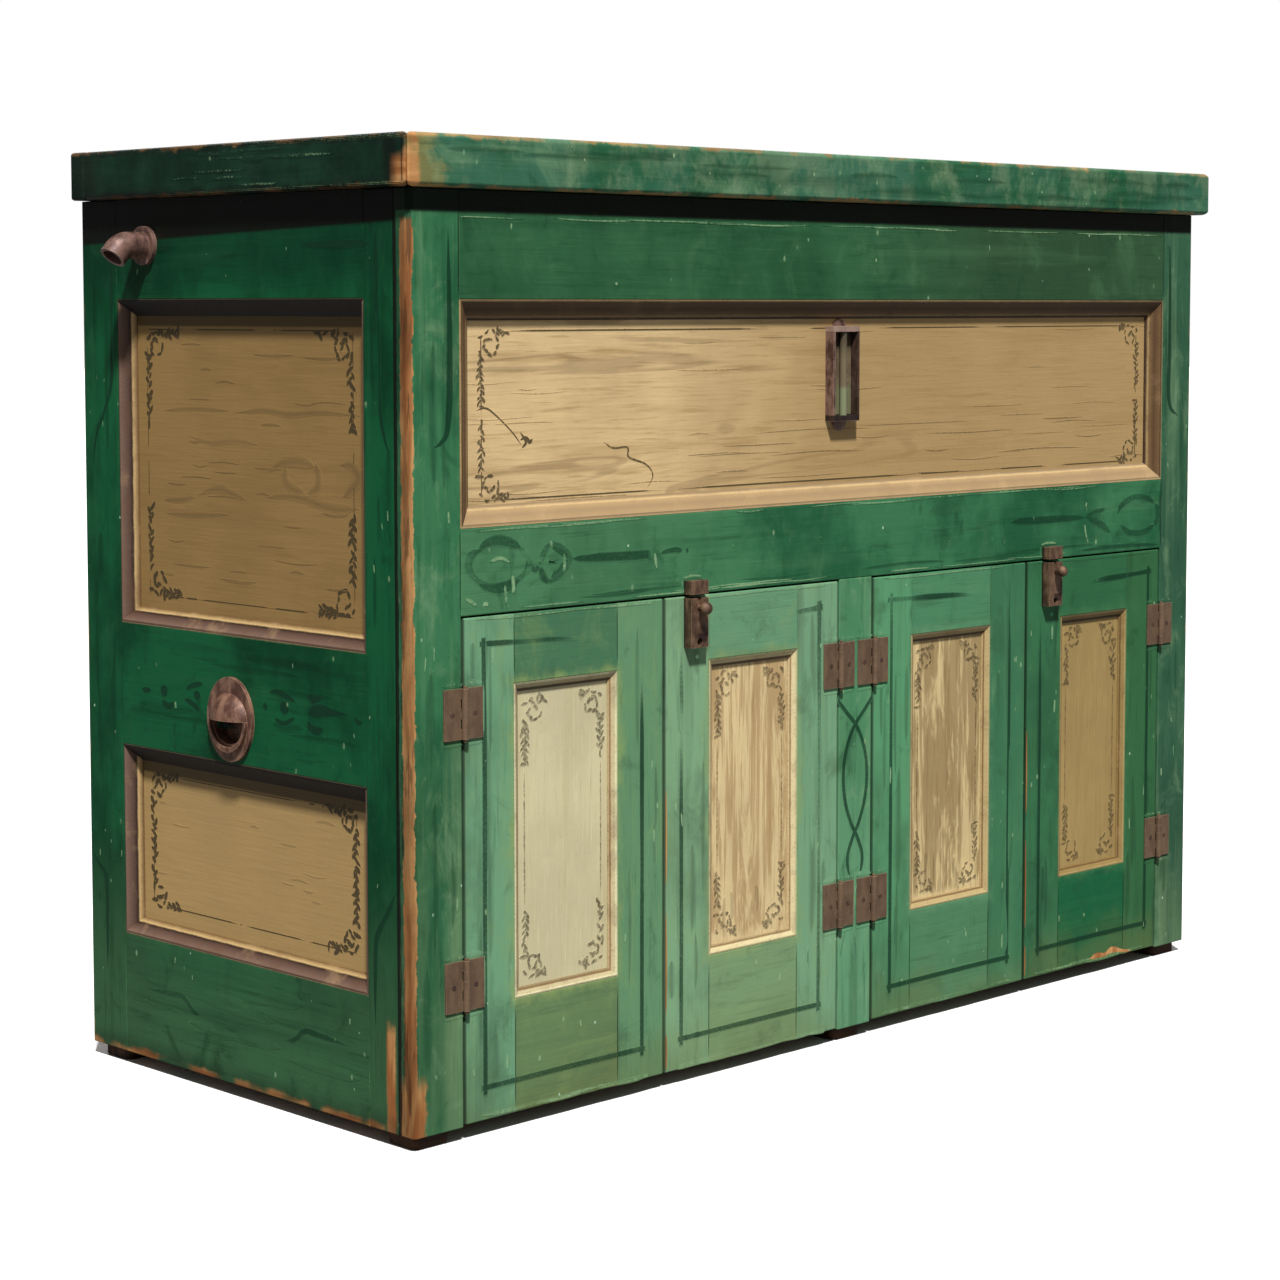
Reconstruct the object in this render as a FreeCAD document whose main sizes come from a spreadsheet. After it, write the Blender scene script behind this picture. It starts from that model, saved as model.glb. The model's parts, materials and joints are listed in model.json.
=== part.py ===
"""Dry sink cabinet: a panelled chest with a lidded, lined tank over two cupboard bays with four doors.

Millimetres. +X runs along the front to the right, +Y into the depth, +Z up. The floor is z = 0, and the
origin is the centre of the outer box at the floor. Every length is a cell of the Sizes sheet, and every
place in PLACES is a sum of those cells.
"""
import FreeCAD, Part
import os
import re
import Sketcher

SIZES = {
    # carcass
    "carcass_length": 1254, "carcass_depth": 534, "carcass_height": 900, "foot_height": 14,
    "frame_thickness": 22, "corner_radius": 6,
    "left_stile_width": 62, "right_stile_width": 61,
    "centre_stile_width": 53, "centre_stile_shift": 3.5,
    "top_rail_width": 104, "front_opening_height": 217, "middle_rail_width": 84,
    # boards held in grooves
    "panel_thickness": 6, "groove_depth": 7, "groove_play": 1,
    # long front panel and its moulding
    "front_recess": 13, "front_moulding_width": 20, "moulding_flat": 3, "moulding_lip": 1,
    # side frames
    "side_thickness": 22, "side_front_stile_width": 44, "side_back_stile_width": 62,
    "side_bottom_rail_width": 128, "side_middle_rail_width": 129, "side_upper_opening_height": 338,
    "side_top_rail_width": 103, "side_recess": 14, "side_moulding_width": 17,
    # inner boards
    "back_thickness": 12, "floor_thickness": 20, "deck_lap": 12, "deck_thickness": 18,
    "partition_thickness": 18,
    # tank
    "tank_wall": 2, "tank_drop": 15,
    # feet
    "foot_width": 44, "foot_inset": 8, "foot_corner": 8, "centre_foot_inset": 2,
    # lid
    "lid_thickness": 50, "lid_overhang": 14, "lid_gap": 0.5, "lid_rim_width": 24, "lid_edge_radius": 5,
    "lid_board_thickness": 22, "lid_back_rim_width": 24,
    # doors
    "door_top_gap": 2, "door_bottom": 2, "door_thickness": 20, "door_gap": 2.5,
    "left_split_shift": 2, "right_split_shift": 5,
    "door_stile_width": 65, "door_top_rail_width": 68, "door_bottom_rail_width": 113,
    "door_recess": 6, "door_moulding_width": 9, "door_moulding_flat": 1.5,
    # butt hinges
    "leaf_width": 24.5, "leaf_height": 49, "leaf_thickness": 2, "knuckle_radius": 3.5,
    "pin_standoff": 4, "pin_radius": 2, "pin_clearance": 0.05, "pin_tip": 2.5, "knuckle_gap": 0.3,
    "leaf_clearance": 0.4, "upper_hinge_drop": 66.5, "lower_hinge_bottom": 114.5,
    "lid_hinge_inset": 180,
    # sliding catches
    "catch_width": 25, "catch_depth": 11, "catch_height": 51, "catch_top_gap": 1.5, "catch_inset": 29,
    "catch_front_wall": 3, "bolt_width": 14, "bolt_thickness": 5, "bolt_height": 37, "bolt_travel": 9,
    "bolt_play": 0.3, "knob_radius": 6.5, "knob_reach": 26.5, "stem_radius": 3, "stem_drop": 10,
    "catch_hole_radius": 4, "catch_hole_height": 6, "keeper_height": 14, "keeper_gap": 0.5,
    # thermometer on the long panel
    "case_shift": 12.5, "case_width": 42, "case_drop": 28, "case_height": 102, "case_depth": 12,
    "case_wall": 3, "case_plate": 2, "case_bar_height": 6, "case_lug_radius": 11, "top_lug_lap": 3.5,
    "scale_thickness": 1, "scale_margin": 1, "tube_radius": 4,
    # drain spout in the left side
    "spout_from_back": 115, "spout_drop": 48, "flange_radius": 20, "flange_thickness": 5,
    "spout_radius": 14, "spout_bore_radius": 10.5, "spout_bend_radius": 18, "spout_bend_angle": 50,
    "spout_run": 22, "spout_end_length": 8, "spout_hole_play": 0.3,
    # lift handles in the side middle rails
    "handle_shift": 11, "handle_margin": 2, "handle_half_width": 37, "handle_half_height": 43,
    "handle_plate": 4, "hood_reach": 18, "hood_half_width": 31, "hood_rise": 27, "hood_wall": 3,
    "handle_lip_reach": 8, "handle_lip_drop": 33, "handle_lip_inner_drop": 28,
    "cup_drop": 5, "cup_half_width": 27, "cup_half_height": 22, "cup_depth": 12, "cup_wall": 2,
}

PLACES = {
    # front frame and doors
    "middle_rail_bottom": "carcass_height - top_rail_width - front_opening_height - middle_rail_width",
    "centre_stile_left": "(carcass_length - centre_stile_width) / 2 + centre_stile_shift",
    "centre_foot_left": "centre_stile_left + centre_foot_inset",
    "door_top": "middle_rail_bottom - door_top_gap",
    "left_door_split": "(left_stile_width + centre_stile_left) / 2 + left_split_shift",
    "right_door_split": "(centre_stile_left + centre_stile_width + carcass_length - right_stile_width) / 2"
                        " + right_split_shift",
    "upper_hinge_bottom": "door_top - upper_hinge_drop - leaf_height",
    # side frames and what they carry
    "side_middle_rail_bottom": "carcass_height - side_top_rail_width - side_upper_opening_height"
                               " - side_middle_rail_width",
    "spout_from_front": "carcass_depth - spout_from_back",
    "spout_height": "carcass_height - spout_drop",
    "handle_from_front": "(frame_thickness + side_front_stile_width + carcass_depth"
                         " - side_back_stile_width) / 2 + handle_shift",
    "handle_height": "side_middle_rail_bottom + handle_margin + handle_half_height",
    # tank and thermometer
    "deck_bottom": "middle_rail_bottom - deck_lap",
    "tank_height": "carcass_height - tank_drop - deck_bottom - deck_thickness",
    "case_left": "(left_stile_width + carcass_length - right_stile_width - case_width) / 2 - case_shift",
    "case_bottom": "carcass_height - top_rail_width - case_drop - case_height",
}

SPOUT_REACH = "(spout_run + (spout_bend_radius + spout_radius) * sin(spout_bend_angle)" \
    " + spout_end_length * cos(spout_bend_angle))"
ORIGIN_X = f"(carcass_length + hood_reach - {SPOUT_REACH}) / 2"
ORIGIN_Y = "(carcass_depth + pin_standoff + knuckle_radius - knob_reach) / 2"

X_AXIS = FreeCAD.Vector(1, 0, 0)
Y_AXIS = FreeCAD.Vector(0, 1, 0)
Z_AXIS = FreeCAD.Vector(0, 0, 1)
UPRIGHT = FreeCAD.Rotation()
ALONG_X = FreeCAD.Rotation(Y_AXIS, 90)
ALONG_BACK = FreeCAD.Rotation(X_AXIS, -90)
FACING_LEFT = FreeCAD.Rotation(Z_AXIS, -90)

doc = FreeCAD.newDocument("dry_sink_cabinet")
sheet = doc.addObject("Spreadsheet::Sheet", "Sizes")
for row, (size_name, size_value) in enumerate(SIZES.items(), start=1):
    sheet.set(f"A{row}", str(size_value))
    sheet.setAlias(f"A{row}", size_name)
doc.recompute()

SPOUT_SLANT = FreeCAD.Rotation(Y_AXIS, -90 - sheet.spout_bend_angle)

nodes = []


def sized(text):
    """Turn a sum of size and place names into an expression on the sheet."""
    def spelled(word):
        name = word.group()
        if name in PLACES:
            return f"({sized(PLACES[name])})"
        return f"Sizes.{name}" if name in SIZES else name
    return re.sub(r"[a-z][a-z_]*", spelled, text)


def bind(thing, **properties):
    """Bind each property of a document object to a sum of sizes."""
    for name, text in properties.items():
        thing.setExpression(name, sized(text))


def place(thing, x, y, z, turn=UPRIGHT):
    """Put an object at carcass coordinates: x from the left side, y from the front, z from the bottom."""
    thing.Placement = FreeCAD.Placement(FreeCAD.Vector(), turn)
    thing.setExpression("Placement.Base.x", sized(f"{x} - {ORIGIN_X}"))
    thing.setExpression("Placement.Base.y", sized(f"{y} - {ORIGIN_Y}"))
    thing.setExpression("Placement.Base.z", sized(f"{z} + foot_height"))
    return thing


def node(thing, label):
    """Name a finished sub-part; it is written to a file of that name."""
    thing.Label = label
    nodes.append(thing)
    return thing


def box(x, y, z, dx, dy, dz):
    solid = doc.addObject("Part::Box", "Box")
    bind(solid, Length=dx, Width=dy, Height=dz)
    return place(solid, x, y, z)


def cylinder(x, y, z, radius, length, turn=UPRIGHT):
    solid = doc.addObject("Part::Cylinder", "Cylinder")
    bind(solid, Radius=radius, Height=length)
    return place(solid, x, y, z, turn)


def fuse(*shapes):
    joined = doc.addObject("Part::MultiFuse", "Fusion")
    joined.Shapes = list(shapes)
    return joined


def cut(base, *tools):
    """Take one or more solids out of a base."""
    result = doc.addObject("Part::Cut", "Cut")
    result.Base = base
    result.Tool = tools[0] if len(tools) == 1 else fuse(*tools)
    return result


def group(*shapes):
    """Keep like pieces as separate solids of one sub-part."""
    together = doc.addObject("Part::Compound", "Group")
    together.Links = list(shapes)
    return together


def mirrored(source):
    """The right-hand copy of a left-hand piece, reflected in the middle of the carcass."""
    copy = doc.addObject("Part::Mirroring", "Mirrored")
    copy.Source = source
    copy.Normal = X_AXIS
    copy.setExpression("Base.x", sized(f"carcass_length / 2 - {ORIGIN_X}"))
    return copy


def plane_of(body, role):
    return next(feature for feature in body.Origin.OriginFeatures if feature.Role == role)


def outline(body, corners, role="XY_Plane"):
    """A closed sketch through corners, each held from the sketch's origin by two bound distances."""
    sketch = body.newObject("Sketcher::SketchObject", "Outline")
    sketch.AttachmentSupport = [(plane_of(body, role), "")]
    sketch.MapMode = "FlatFace"
    count = len(corners)
    spots = [FreeCAD.Vector(10 * (i % 2) + i, 10 * (i // 2) + i, 0) for i in range(count)]
    for i in range(count):
        sketch.addGeometry(Part.LineSegment(spots[i], spots[(i + 1) % count]), False)
    for i in range(count):
        sketch.addConstraint(Sketcher.Constraint("Coincident", i, 2, (i + 1) % count, 1))
    for i, (across, along) in enumerate(corners):
        for kind, text, axis in (("DistanceX", across, -2), ("DistanceY", along, -1)):
            if text == "0":
                sketch.addConstraint(Sketcher.Constraint("PointOnObject", i, 1, axis))
            else:
                held = sketch.addConstraint(Sketcher.Constraint(kind, -1, 1, i, 1, 10.0 + i))
                sketch.setExpression(f"Constraints[{held}]", sized(text))
    return sketch


def prism(corners, height, x, y, z):
    """A PartDesign body: an outline in plan, padded upwards."""
    body = doc.addObject("PartDesign::Body", "Body")
    sketch = outline(body, corners)
    pad = body.newObject("PartDesign::Pad", "Pad")
    pad.Profile = sketch
    bind(pad, Length=height)
    place(body, x, y, z)
    doc.recompute()
    return body


def round_edges(body, radius, chosen):
    """Fillet the edges of a body's last feature for which chosen(edge) holds."""
    base = body.Tip
    names = [f"Edge{i}" for i, edge in enumerate(base.Shape.Edges, start=1) if chosen(edge)]
    fillet = body.newObject("PartDesign::Fillet", "Fillet")
    fillet.Base = (base, names)
    bind(fillet, Radius=radius)
    doc.recompute()
    return body


def upright_at(x, y):
    """A test for the upright edge at plan position x, y of a body's own frame."""
    def test(edge):
        limits = edge.BoundBox
        return limits.ZLength > 1 and abs(limits.XMin - x) + abs(limits.XMax - x) < 0.01 \
            and abs(limits.YMin - y) + abs(limits.YMax - y) < 0.01
    return test


def moulding(x, y, z, width, height, depth, ring, flat):
    """A mitred frame of sloping moulding seen from the front: flat by the frame, low by the panel."""
    outer = box(x, y, z, width, depth, height)
    slope = doc.addObject("Part::Wedge", "Slope")
    bind(slope, Xmin=flat, Xmax=f"{width} - {flat}", Ymin="0", Ymax=f"{depth} - moulding_lip",
         Zmin=flat, Zmax=f"{height} - {flat}", X2min=ring, X2max=f"{width} - {ring}",
         Z2min=ring, Z2max=f"{height} - {ring}")
    place(slope, x, y, z)
    through = box(f"{x} + {ring}", y, f"{z} + {ring}", f"{width} - 2 * {ring}", depth,
                  f"{height} - 2 * {ring}")
    return cut(outer, slope, through)


def oval(half_width, half_height, thickness, x, drop=0):
    """An oval plate lying in the left side's plane, its middle a drop below the lift handle's.

    Widths are numbers read from the sheet, because an ellipse must know its longer axis.
    """
    ellipse = Part.Ellipse(FreeCAD.Vector(), max(half_width, half_height), min(half_width, half_height))
    face = Part.Face(Part.Wire(ellipse.toShape()))
    if half_width > half_height:
        face.rotate(FreeCAD.Vector(), Z_AXIS, 90)
    plate = doc.addObject("Part::Feature", "Oval")
    plate.Shape = face.extrude(Z_AXIS * thickness)
    return place(plate, x, "handle_from_front", f"handle_height - {drop}", ALONG_X)


# ---------------------------------------------------------------- front frame

OPENING_WIDTH = "(carcass_length - left_stile_width - right_stile_width)"
OPENING_BOTTOM = "(middle_rail_bottom + middle_rail_width)"
OPENING_HEIGHT = "(carcass_height - top_rail_width - middle_rail_bottom - middle_rail_width)"
PANEL_WIDTH = f"({OPENING_WIDTH} + 2 * groove_depth - 2 * groove_play)"
PANEL_HEIGHT = f"({OPENING_HEIGHT} + 2 * groove_depth - 2 * groove_play)"


def front_groove():
    """The groove that runs round the long opening."""
    return box("left_stile_width - groove_depth", "front_recess", f"{OPENING_BOTTOM} - groove_depth",
               f"{OPENING_WIDTH} + 2 * groove_depth", "panel_thickness",
               f"{OPENING_HEIGHT} + 2 * groove_depth")


def outer_stile(x, width, rounded_x):
    corners = [("0", "0"), (width, "0"), (width, "frame_thickness"), ("0", "frame_thickness")]
    body = prism(corners, "carcass_height", x, "0", "0")
    round_edges(body, "corner_radius", upright_at(rounded_x, 0))
    return cut(body, front_groove())


node(outer_stile("0", "left_stile_width", 0), "front_stile_left")
node(outer_stile("carcass_length - right_stile_width", "right_stile_width", sheet.right_stile_width),
     "front_stile_right")
node(box("centre_stile_left", "0", "0", "centre_stile_width", "frame_thickness", "middle_rail_bottom"),
     "front_stile_centre")
node(cut(box("left_stile_width", "0", "carcass_height - top_rail_width", OPENING_WIDTH, "frame_thickness",
             "top_rail_width"), front_groove()), "front_rail_top")
node(cut(box("left_stile_width", "0", "middle_rail_bottom", OPENING_WIDTH, "frame_thickness",
             "middle_rail_width"), front_groove()), "front_rail_middle")
node(box("left_stile_width - groove_depth + groove_play", "front_recess",
         f"{OPENING_BOTTOM} - groove_depth + groove_play", PANEL_WIDTH, "panel_thickness", PANEL_HEIGHT),
     "front_panel")
node(moulding("left_stile_width", "0", OPENING_BOTTOM, OPENING_WIDTH, OPENING_HEIGHT, "front_recess",
              "front_moulding_width", "moulding_flat"), "front_moulding")

# ---------------------------------------------------------------- side frames

SIDE_OPENING_Y = "(frame_thickness + side_front_stile_width)"
SIDE_OPENING_LENGTH = "(carcass_depth - frame_thickness - side_front_stile_width - side_back_stile_width)"
LOWER_BOTTOM = "side_bottom_rail_width"
LOWER_HEIGHT = "(side_middle_rail_bottom - side_bottom_rail_width)"
UPPER_BOTTOM = "(side_middle_rail_bottom + side_middle_rail_width)"
UPPER_HEIGHT = "(carcass_height - side_top_rail_width - side_middle_rail_bottom - side_middle_rail_width)"
SIDE_PANELS = ((LOWER_BOTTOM, LOWER_HEIGHT), (UPPER_BOTTOM, UPPER_HEIGHT))


def side_grooves():
    """The grooves round the two openings of the left side frame."""
    return [box("side_recess", f"{SIDE_OPENING_Y} - groove_depth", f"{bottom} - groove_depth",
                "panel_thickness", f"{SIDE_OPENING_LENGTH} + 2 * groove_depth",
                f"{height} + 2 * groove_depth") for bottom, height in SIDE_PANELS]


def side_stile(y, width):
    return cut(box("0", y, "0", "side_thickness", width, "carcass_height"), *side_grooves())


def side_rail(z, width):
    return cut(box("0", SIDE_OPENING_Y, z, "side_thickness", SIDE_OPENING_LENGTH, width), *side_grooves())


def spout_hole(x, length):
    return cylinder(x, "spout_from_front", "spout_height", "spout_radius + spout_hole_play", length, ALONG_X)


def side_panel(bottom, height):
    return box("side_recess", f"{SIDE_OPENING_Y} - groove_depth + groove_play",
               f"{bottom} - groove_depth + groove_play", "panel_thickness",
               f"{SIDE_OPENING_LENGTH} + 2 * groove_depth - 2 * groove_play",
               f"{height} + 2 * groove_depth - 2 * groove_play")


def side_moulding(bottom, height):
    """A mitred frame whose sloping face looks left, built facing front and turned."""
    outer = box("0", SIDE_OPENING_Y, bottom, "side_recess", SIDE_OPENING_LENGTH, height)
    slope = doc.addObject("Part::Wedge", "Slope")
    ring = "side_moulding_width"
    bind(slope, Xmin="moulding_flat", Xmax=f"{SIDE_OPENING_LENGTH} - moulding_flat", Ymin="0",
         Ymax="side_recess - moulding_lip", Zmin="moulding_flat", Zmax=f"{height} - moulding_flat",
         X2min=ring, X2max=f"{SIDE_OPENING_LENGTH} - {ring}", Z2min=ring, Z2max=f"{height} - {ring}")
    place(slope, "0", f"{SIDE_OPENING_Y} + {SIDE_OPENING_LENGTH}", bottom, FACING_LEFT)
    through = box("0", f"{SIDE_OPENING_Y} + {ring}", f"{bottom} + {ring}", "side_recess",
                  f"{SIDE_OPENING_LENGTH} - 2 * {ring}", f"{height} - 2 * {ring}")
    return cut(outer, slope, through)


SIDE_TOP_RAIL_BOTTOM = "carcass_height - side_top_rail_width"
cup_recess = oval(sheet.cup_half_width, sheet.cup_half_height, sheet.cup_depth, "0", sheet.cup_drop)
lower_rails = [side_rail("0", "side_bottom_rail_width"),
               cut(side_rail("side_middle_rail_bottom", "side_middle_rail_width"), cup_recess)]
plain_top_rail = side_rail(SIDE_TOP_RAIL_BOTTOM, "side_top_rail_width")
drilled_top_rail = cut(plain_top_rail, spout_hole("0", "side_thickness"))
side_pieces = {
    "side_stile_front": side_stile("frame_thickness", "side_front_stile_width"),
    "side_stile_back": side_stile("carcass_depth - side_back_stile_width", "side_back_stile_width"),
    "side_panels": group(*[side_panel(bottom, height) for bottom, height in SIDE_PANELS]),
    "side_mouldings": group(*[side_moulding(bottom, height) for bottom, height in SIDE_PANELS]),
}
for piece_name, piece in side_pieces.items():
    node(piece, f"left_{piece_name}")
    node(mirrored(piece), f"right_{piece_name}")
node(group(*lower_rails, drilled_top_rail), "left_side_rails")
node(mirrored(group(*lower_rails, plain_top_rail)), "right_side_rails")

# ---------------------------------------------------------------- inner boards, tank and feet

INNER_WIDTH = "(carcass_length - 2 * side_thickness)"
INNER_DEPTH = "(carcass_depth - frame_thickness - back_thickness)"
DECK_TOP = "(deck_bottom + deck_thickness)"

node(box("side_thickness", "carcass_depth - back_thickness", "0", INNER_WIDTH, "back_thickness",
         "carcass_height"), "back_boards")
node(box("side_thickness", "frame_thickness", "0", INNER_WIDTH, INNER_DEPTH, "floor_thickness"),
     "floor_boards")
node(box("side_thickness", "frame_thickness", "deck_bottom", INNER_WIDTH, INNER_DEPTH, "deck_thickness"),
     "tank_deck")
node(box("centre_stile_left + (centre_stile_width - partition_thickness) / 2", "frame_thickness",
         "floor_thickness", "partition_thickness", INNER_DEPTH, "deck_bottom - floor_thickness"),
     "centre_partition")


def tank_plate(x, y, z, dx, dy, dz):
    return box(f"side_thickness + {x}", f"frame_thickness + {y}", f"{DECK_TOP} + {z}", dx, dy, dz)


WALL_HEIGHT = "tank_height - tank_wall"
SHORT_WALL = f"({INNER_DEPTH} - 2 * tank_wall)"
tank_plates = [
    tank_plate("0", "0", "0", INNER_WIDTH, INNER_DEPTH, "tank_wall"),
    tank_plate("0", "0", "tank_wall", INNER_WIDTH, "tank_wall", WALL_HEIGHT),
    tank_plate("0", f"{INNER_DEPTH} - tank_wall", "tank_wall", INNER_WIDTH, "tank_wall", WALL_HEIGHT),
    tank_plate(f"{INNER_WIDTH} - tank_wall", "tank_wall", "tank_wall", "tank_wall", SHORT_WALL, WALL_HEIGHT),
    cut(tank_plate("0", "tank_wall", "tank_wall", "tank_wall", SHORT_WALL, WALL_HEIGHT),
        spout_hole("side_thickness", "tank_wall")),
]
node(group(*tank_plates), "tank_liner")


def foot(x, y):
    """A low block under the carcass with rounded upright corners."""
    side = sheet.foot_width
    corners = [("0", "0"), ("foot_width", "0"), ("foot_width", "foot_width"), ("0", "foot_width")]
    body = prism(corners, "foot_height", x, y, "0 - foot_height")
    tests = [upright_at(corner_x, corner_y) for corner_x in (0, side) for corner_y in (0, side)]
    return round_edges(body, "foot_corner", lambda edge: any(test(edge) for test in tests))


FOOT_RIGHT_X = "carcass_length - foot_inset - foot_width"
FOOT_BACK_Y = "carcass_depth - foot_inset - foot_width"
node(group(*[foot(x, "foot_inset") for x in ("foot_inset", "centre_foot_left", FOOT_RIGHT_X)]), "front_feet")
node(group(*[foot(x, FOOT_BACK_Y) for x in ("foot_inset", FOOT_RIGHT_X)]), "back_feet")

# ---------------------------------------------------------------- lid

LID_BOTTOM = "(carcass_height + lid_gap)"
LID_LENGTH = "(carcass_length + 2 * lid_overhang)"
LID_DEPTH = "(carcass_depth + lid_overhang)"


def rim_edges(outer_y, outer_x=None):
    """A test for the outer edges, top and bottom, of a rim board in its body's own frame."""
    def test(edge):
        limits = edge.BoundBox
        level = limits.ZLength < 0.01
        on_line = abs(limits.YMin - outer_y) + abs(limits.YMax - outer_y) < 0.01 if outer_x is None \
            else abs(limits.XMin - outer_x) + abs(limits.XMax - outer_x) < 0.01
        return level and on_line
    return test


front_rim = prism([("0", "0"), (LID_LENGTH, "0"), (f"{LID_LENGTH} - lid_rim_width", "lid_rim_width"),
                   ("lid_rim_width", "lid_rim_width")], "lid_thickness", "0 - lid_overhang",
                  "0 - lid_overhang", LID_BOTTOM)
node(round_edges(front_rim, "lid_edge_radius", rim_edges(0)), "lid_rim_front")
left_rim = prism([("0", "0"), ("lid_rim_width", "lid_rim_width"),
                  ("lid_rim_width", f"{LID_DEPTH} - lid_back_rim_width"),
                  ("0", f"{LID_DEPTH} - lid_back_rim_width")], "lid_thickness", "0 - lid_overhang",
                 "0 - lid_overhang", LID_BOTTOM)
round_edges(left_rim, "lid_edge_radius", rim_edges(0, outer_x=0))
node(left_rim, "lid_rim_left")
node(mirrored(left_rim), "lid_rim_right")
node(box("0 - lid_overhang", "carcass_depth - lid_back_rim_width", LID_BOTTOM, LID_LENGTH,
         "lid_back_rim_width", "lid_thickness"), "lid_rim_back")
node(box("lid_rim_width - lid_overhang", "lid_rim_width - lid_overhang",
         f"{LID_BOTTOM} + lid_thickness - lid_board_thickness", f"{LID_LENGTH} - 2 * lid_rim_width",
         f"{LID_DEPTH} - lid_rim_width - lid_back_rim_width", "lid_board_thickness"), "lid_boards")

# ---------------------------------------------------------------- hinges

KNUCKLES = 5
FRAME_KNUCKLES = (0, 2, 4)
MOVING_KNUCKLES = (1, 3)
PITCH = f"leaf_height / {KNUCKLES}"
WEB_REACH = "(knuckle_radius + leaf_clearance)"
PIN_LENGTH = "leaf_height + 2 * pin_tip"


def knuckle_start(index):
    return f"{index} * {PITCH} + knuckle_gap / 2"


def door_leaf(pin_x, bottom, side, knuckles, is_frame):
    """One leaf of a butt hinge on the front face; side is +1 where the leaf lies right of its pin."""
    def start(near, far):
        return f"{pin_x} + {near}" if side > 0 else f"{pin_x} - {far}"

    plate = box(start(WEB_REACH, "leaf_width"), "0 - leaf_thickness", bottom, f"leaf_width - {WEB_REACH}",
                "leaf_thickness", "leaf_height")
    pieces = [plate]
    for index in knuckles:
        z = f"{bottom} + {knuckle_start(index)}"
        pieces.append(box(start("0", WEB_REACH), "0 - leaf_thickness", z, WEB_REACH, "leaf_thickness",
                          f"{PITCH} - knuckle_gap"))
        pieces.append(cylinder(pin_x, "0 - pin_standoff", z, "knuckle_radius", f"{PITCH} - knuckle_gap"))
    if is_frame:
        pin = cylinder(pin_x, "0 - pin_standoff", f"{bottom} - pin_tip", "pin_radius", PIN_LENGTH)
        return fuse(*pieces, pin)
    bore = cylinder(pin_x, "0 - pin_standoff", f"{bottom} - pin_tip", "pin_radius + pin_clearance",
                    PIN_LENGTH)
    return cut(fuse(*pieces), bore)


def lid_leaf(x, direction, knuckles, is_frame):
    """One leaf of a butt hinge on the back face; direction is +1 for the lid's leaf, above the pin."""
    pin_z = "carcass_height + lid_gap / 2"

    def start(near, far):
        return f"{pin_z} + {near}" if direction > 0 else f"{pin_z} - {far}"

    pieces = [box(x, "carcass_depth", start(WEB_REACH, "leaf_width"), "leaf_height", "leaf_thickness",
                  f"leaf_width - {WEB_REACH}")]
    for index in knuckles:
        knuckle_x = f"{x} + {knuckle_start(index)}"
        length = f"{PITCH} - knuckle_gap"
        pieces.append(box(knuckle_x, "carcass_depth", start("0", WEB_REACH), length, "leaf_thickness",
                          WEB_REACH))
        pieces.append(cylinder(knuckle_x, "carcass_depth + pin_standoff", pin_z, "knuckle_radius", length,
                               ALONG_X))
    radius = "pin_radius" if is_frame else "pin_radius + pin_clearance"
    pin = cylinder(f"{x} - pin_tip", "carcass_depth + pin_standoff", pin_z, radius, PIN_LENGTH, ALONG_X)
    return fuse(*pieces, pin) if is_frame else cut(fuse(*pieces), pin)


HINGE_BOTTOMS = ("upper_hinge_bottom", "lower_hinge_bottom")
LID_HINGE_STARTS = ("lid_hinge_inset", "carcass_length - lid_hinge_inset - leaf_height")
node(group(*[lid_leaf(x, -1, FRAME_KNUCKLES, True) for x in LID_HINGE_STARTS]), "lid_hinge_fixed_leaves")
node(group(*[lid_leaf(x, 1, MOVING_KNUCKLES, False) for x in LID_HINGE_STARTS]), "lid_hinge_leaves")

# ---------------------------------------------------------------- doors

DOOR_HEIGHT = "(door_top - door_bottom)"
CENTRE_STILE_RIGHT = "(centre_stile_left + centre_stile_width)"
DOORS = (
    # number, left limit, right limit, which edge carries the hinges
    (1, "left_stile_width", "left_door_split", "left"),
    (2, "left_door_split", "centre_stile_left", "right"),
    (3, CENTRE_STILE_RIGHT, "right_door_split", "left"),
    (4, "right_door_split", "(carcass_length - right_stile_width)", "right"),
)


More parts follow.
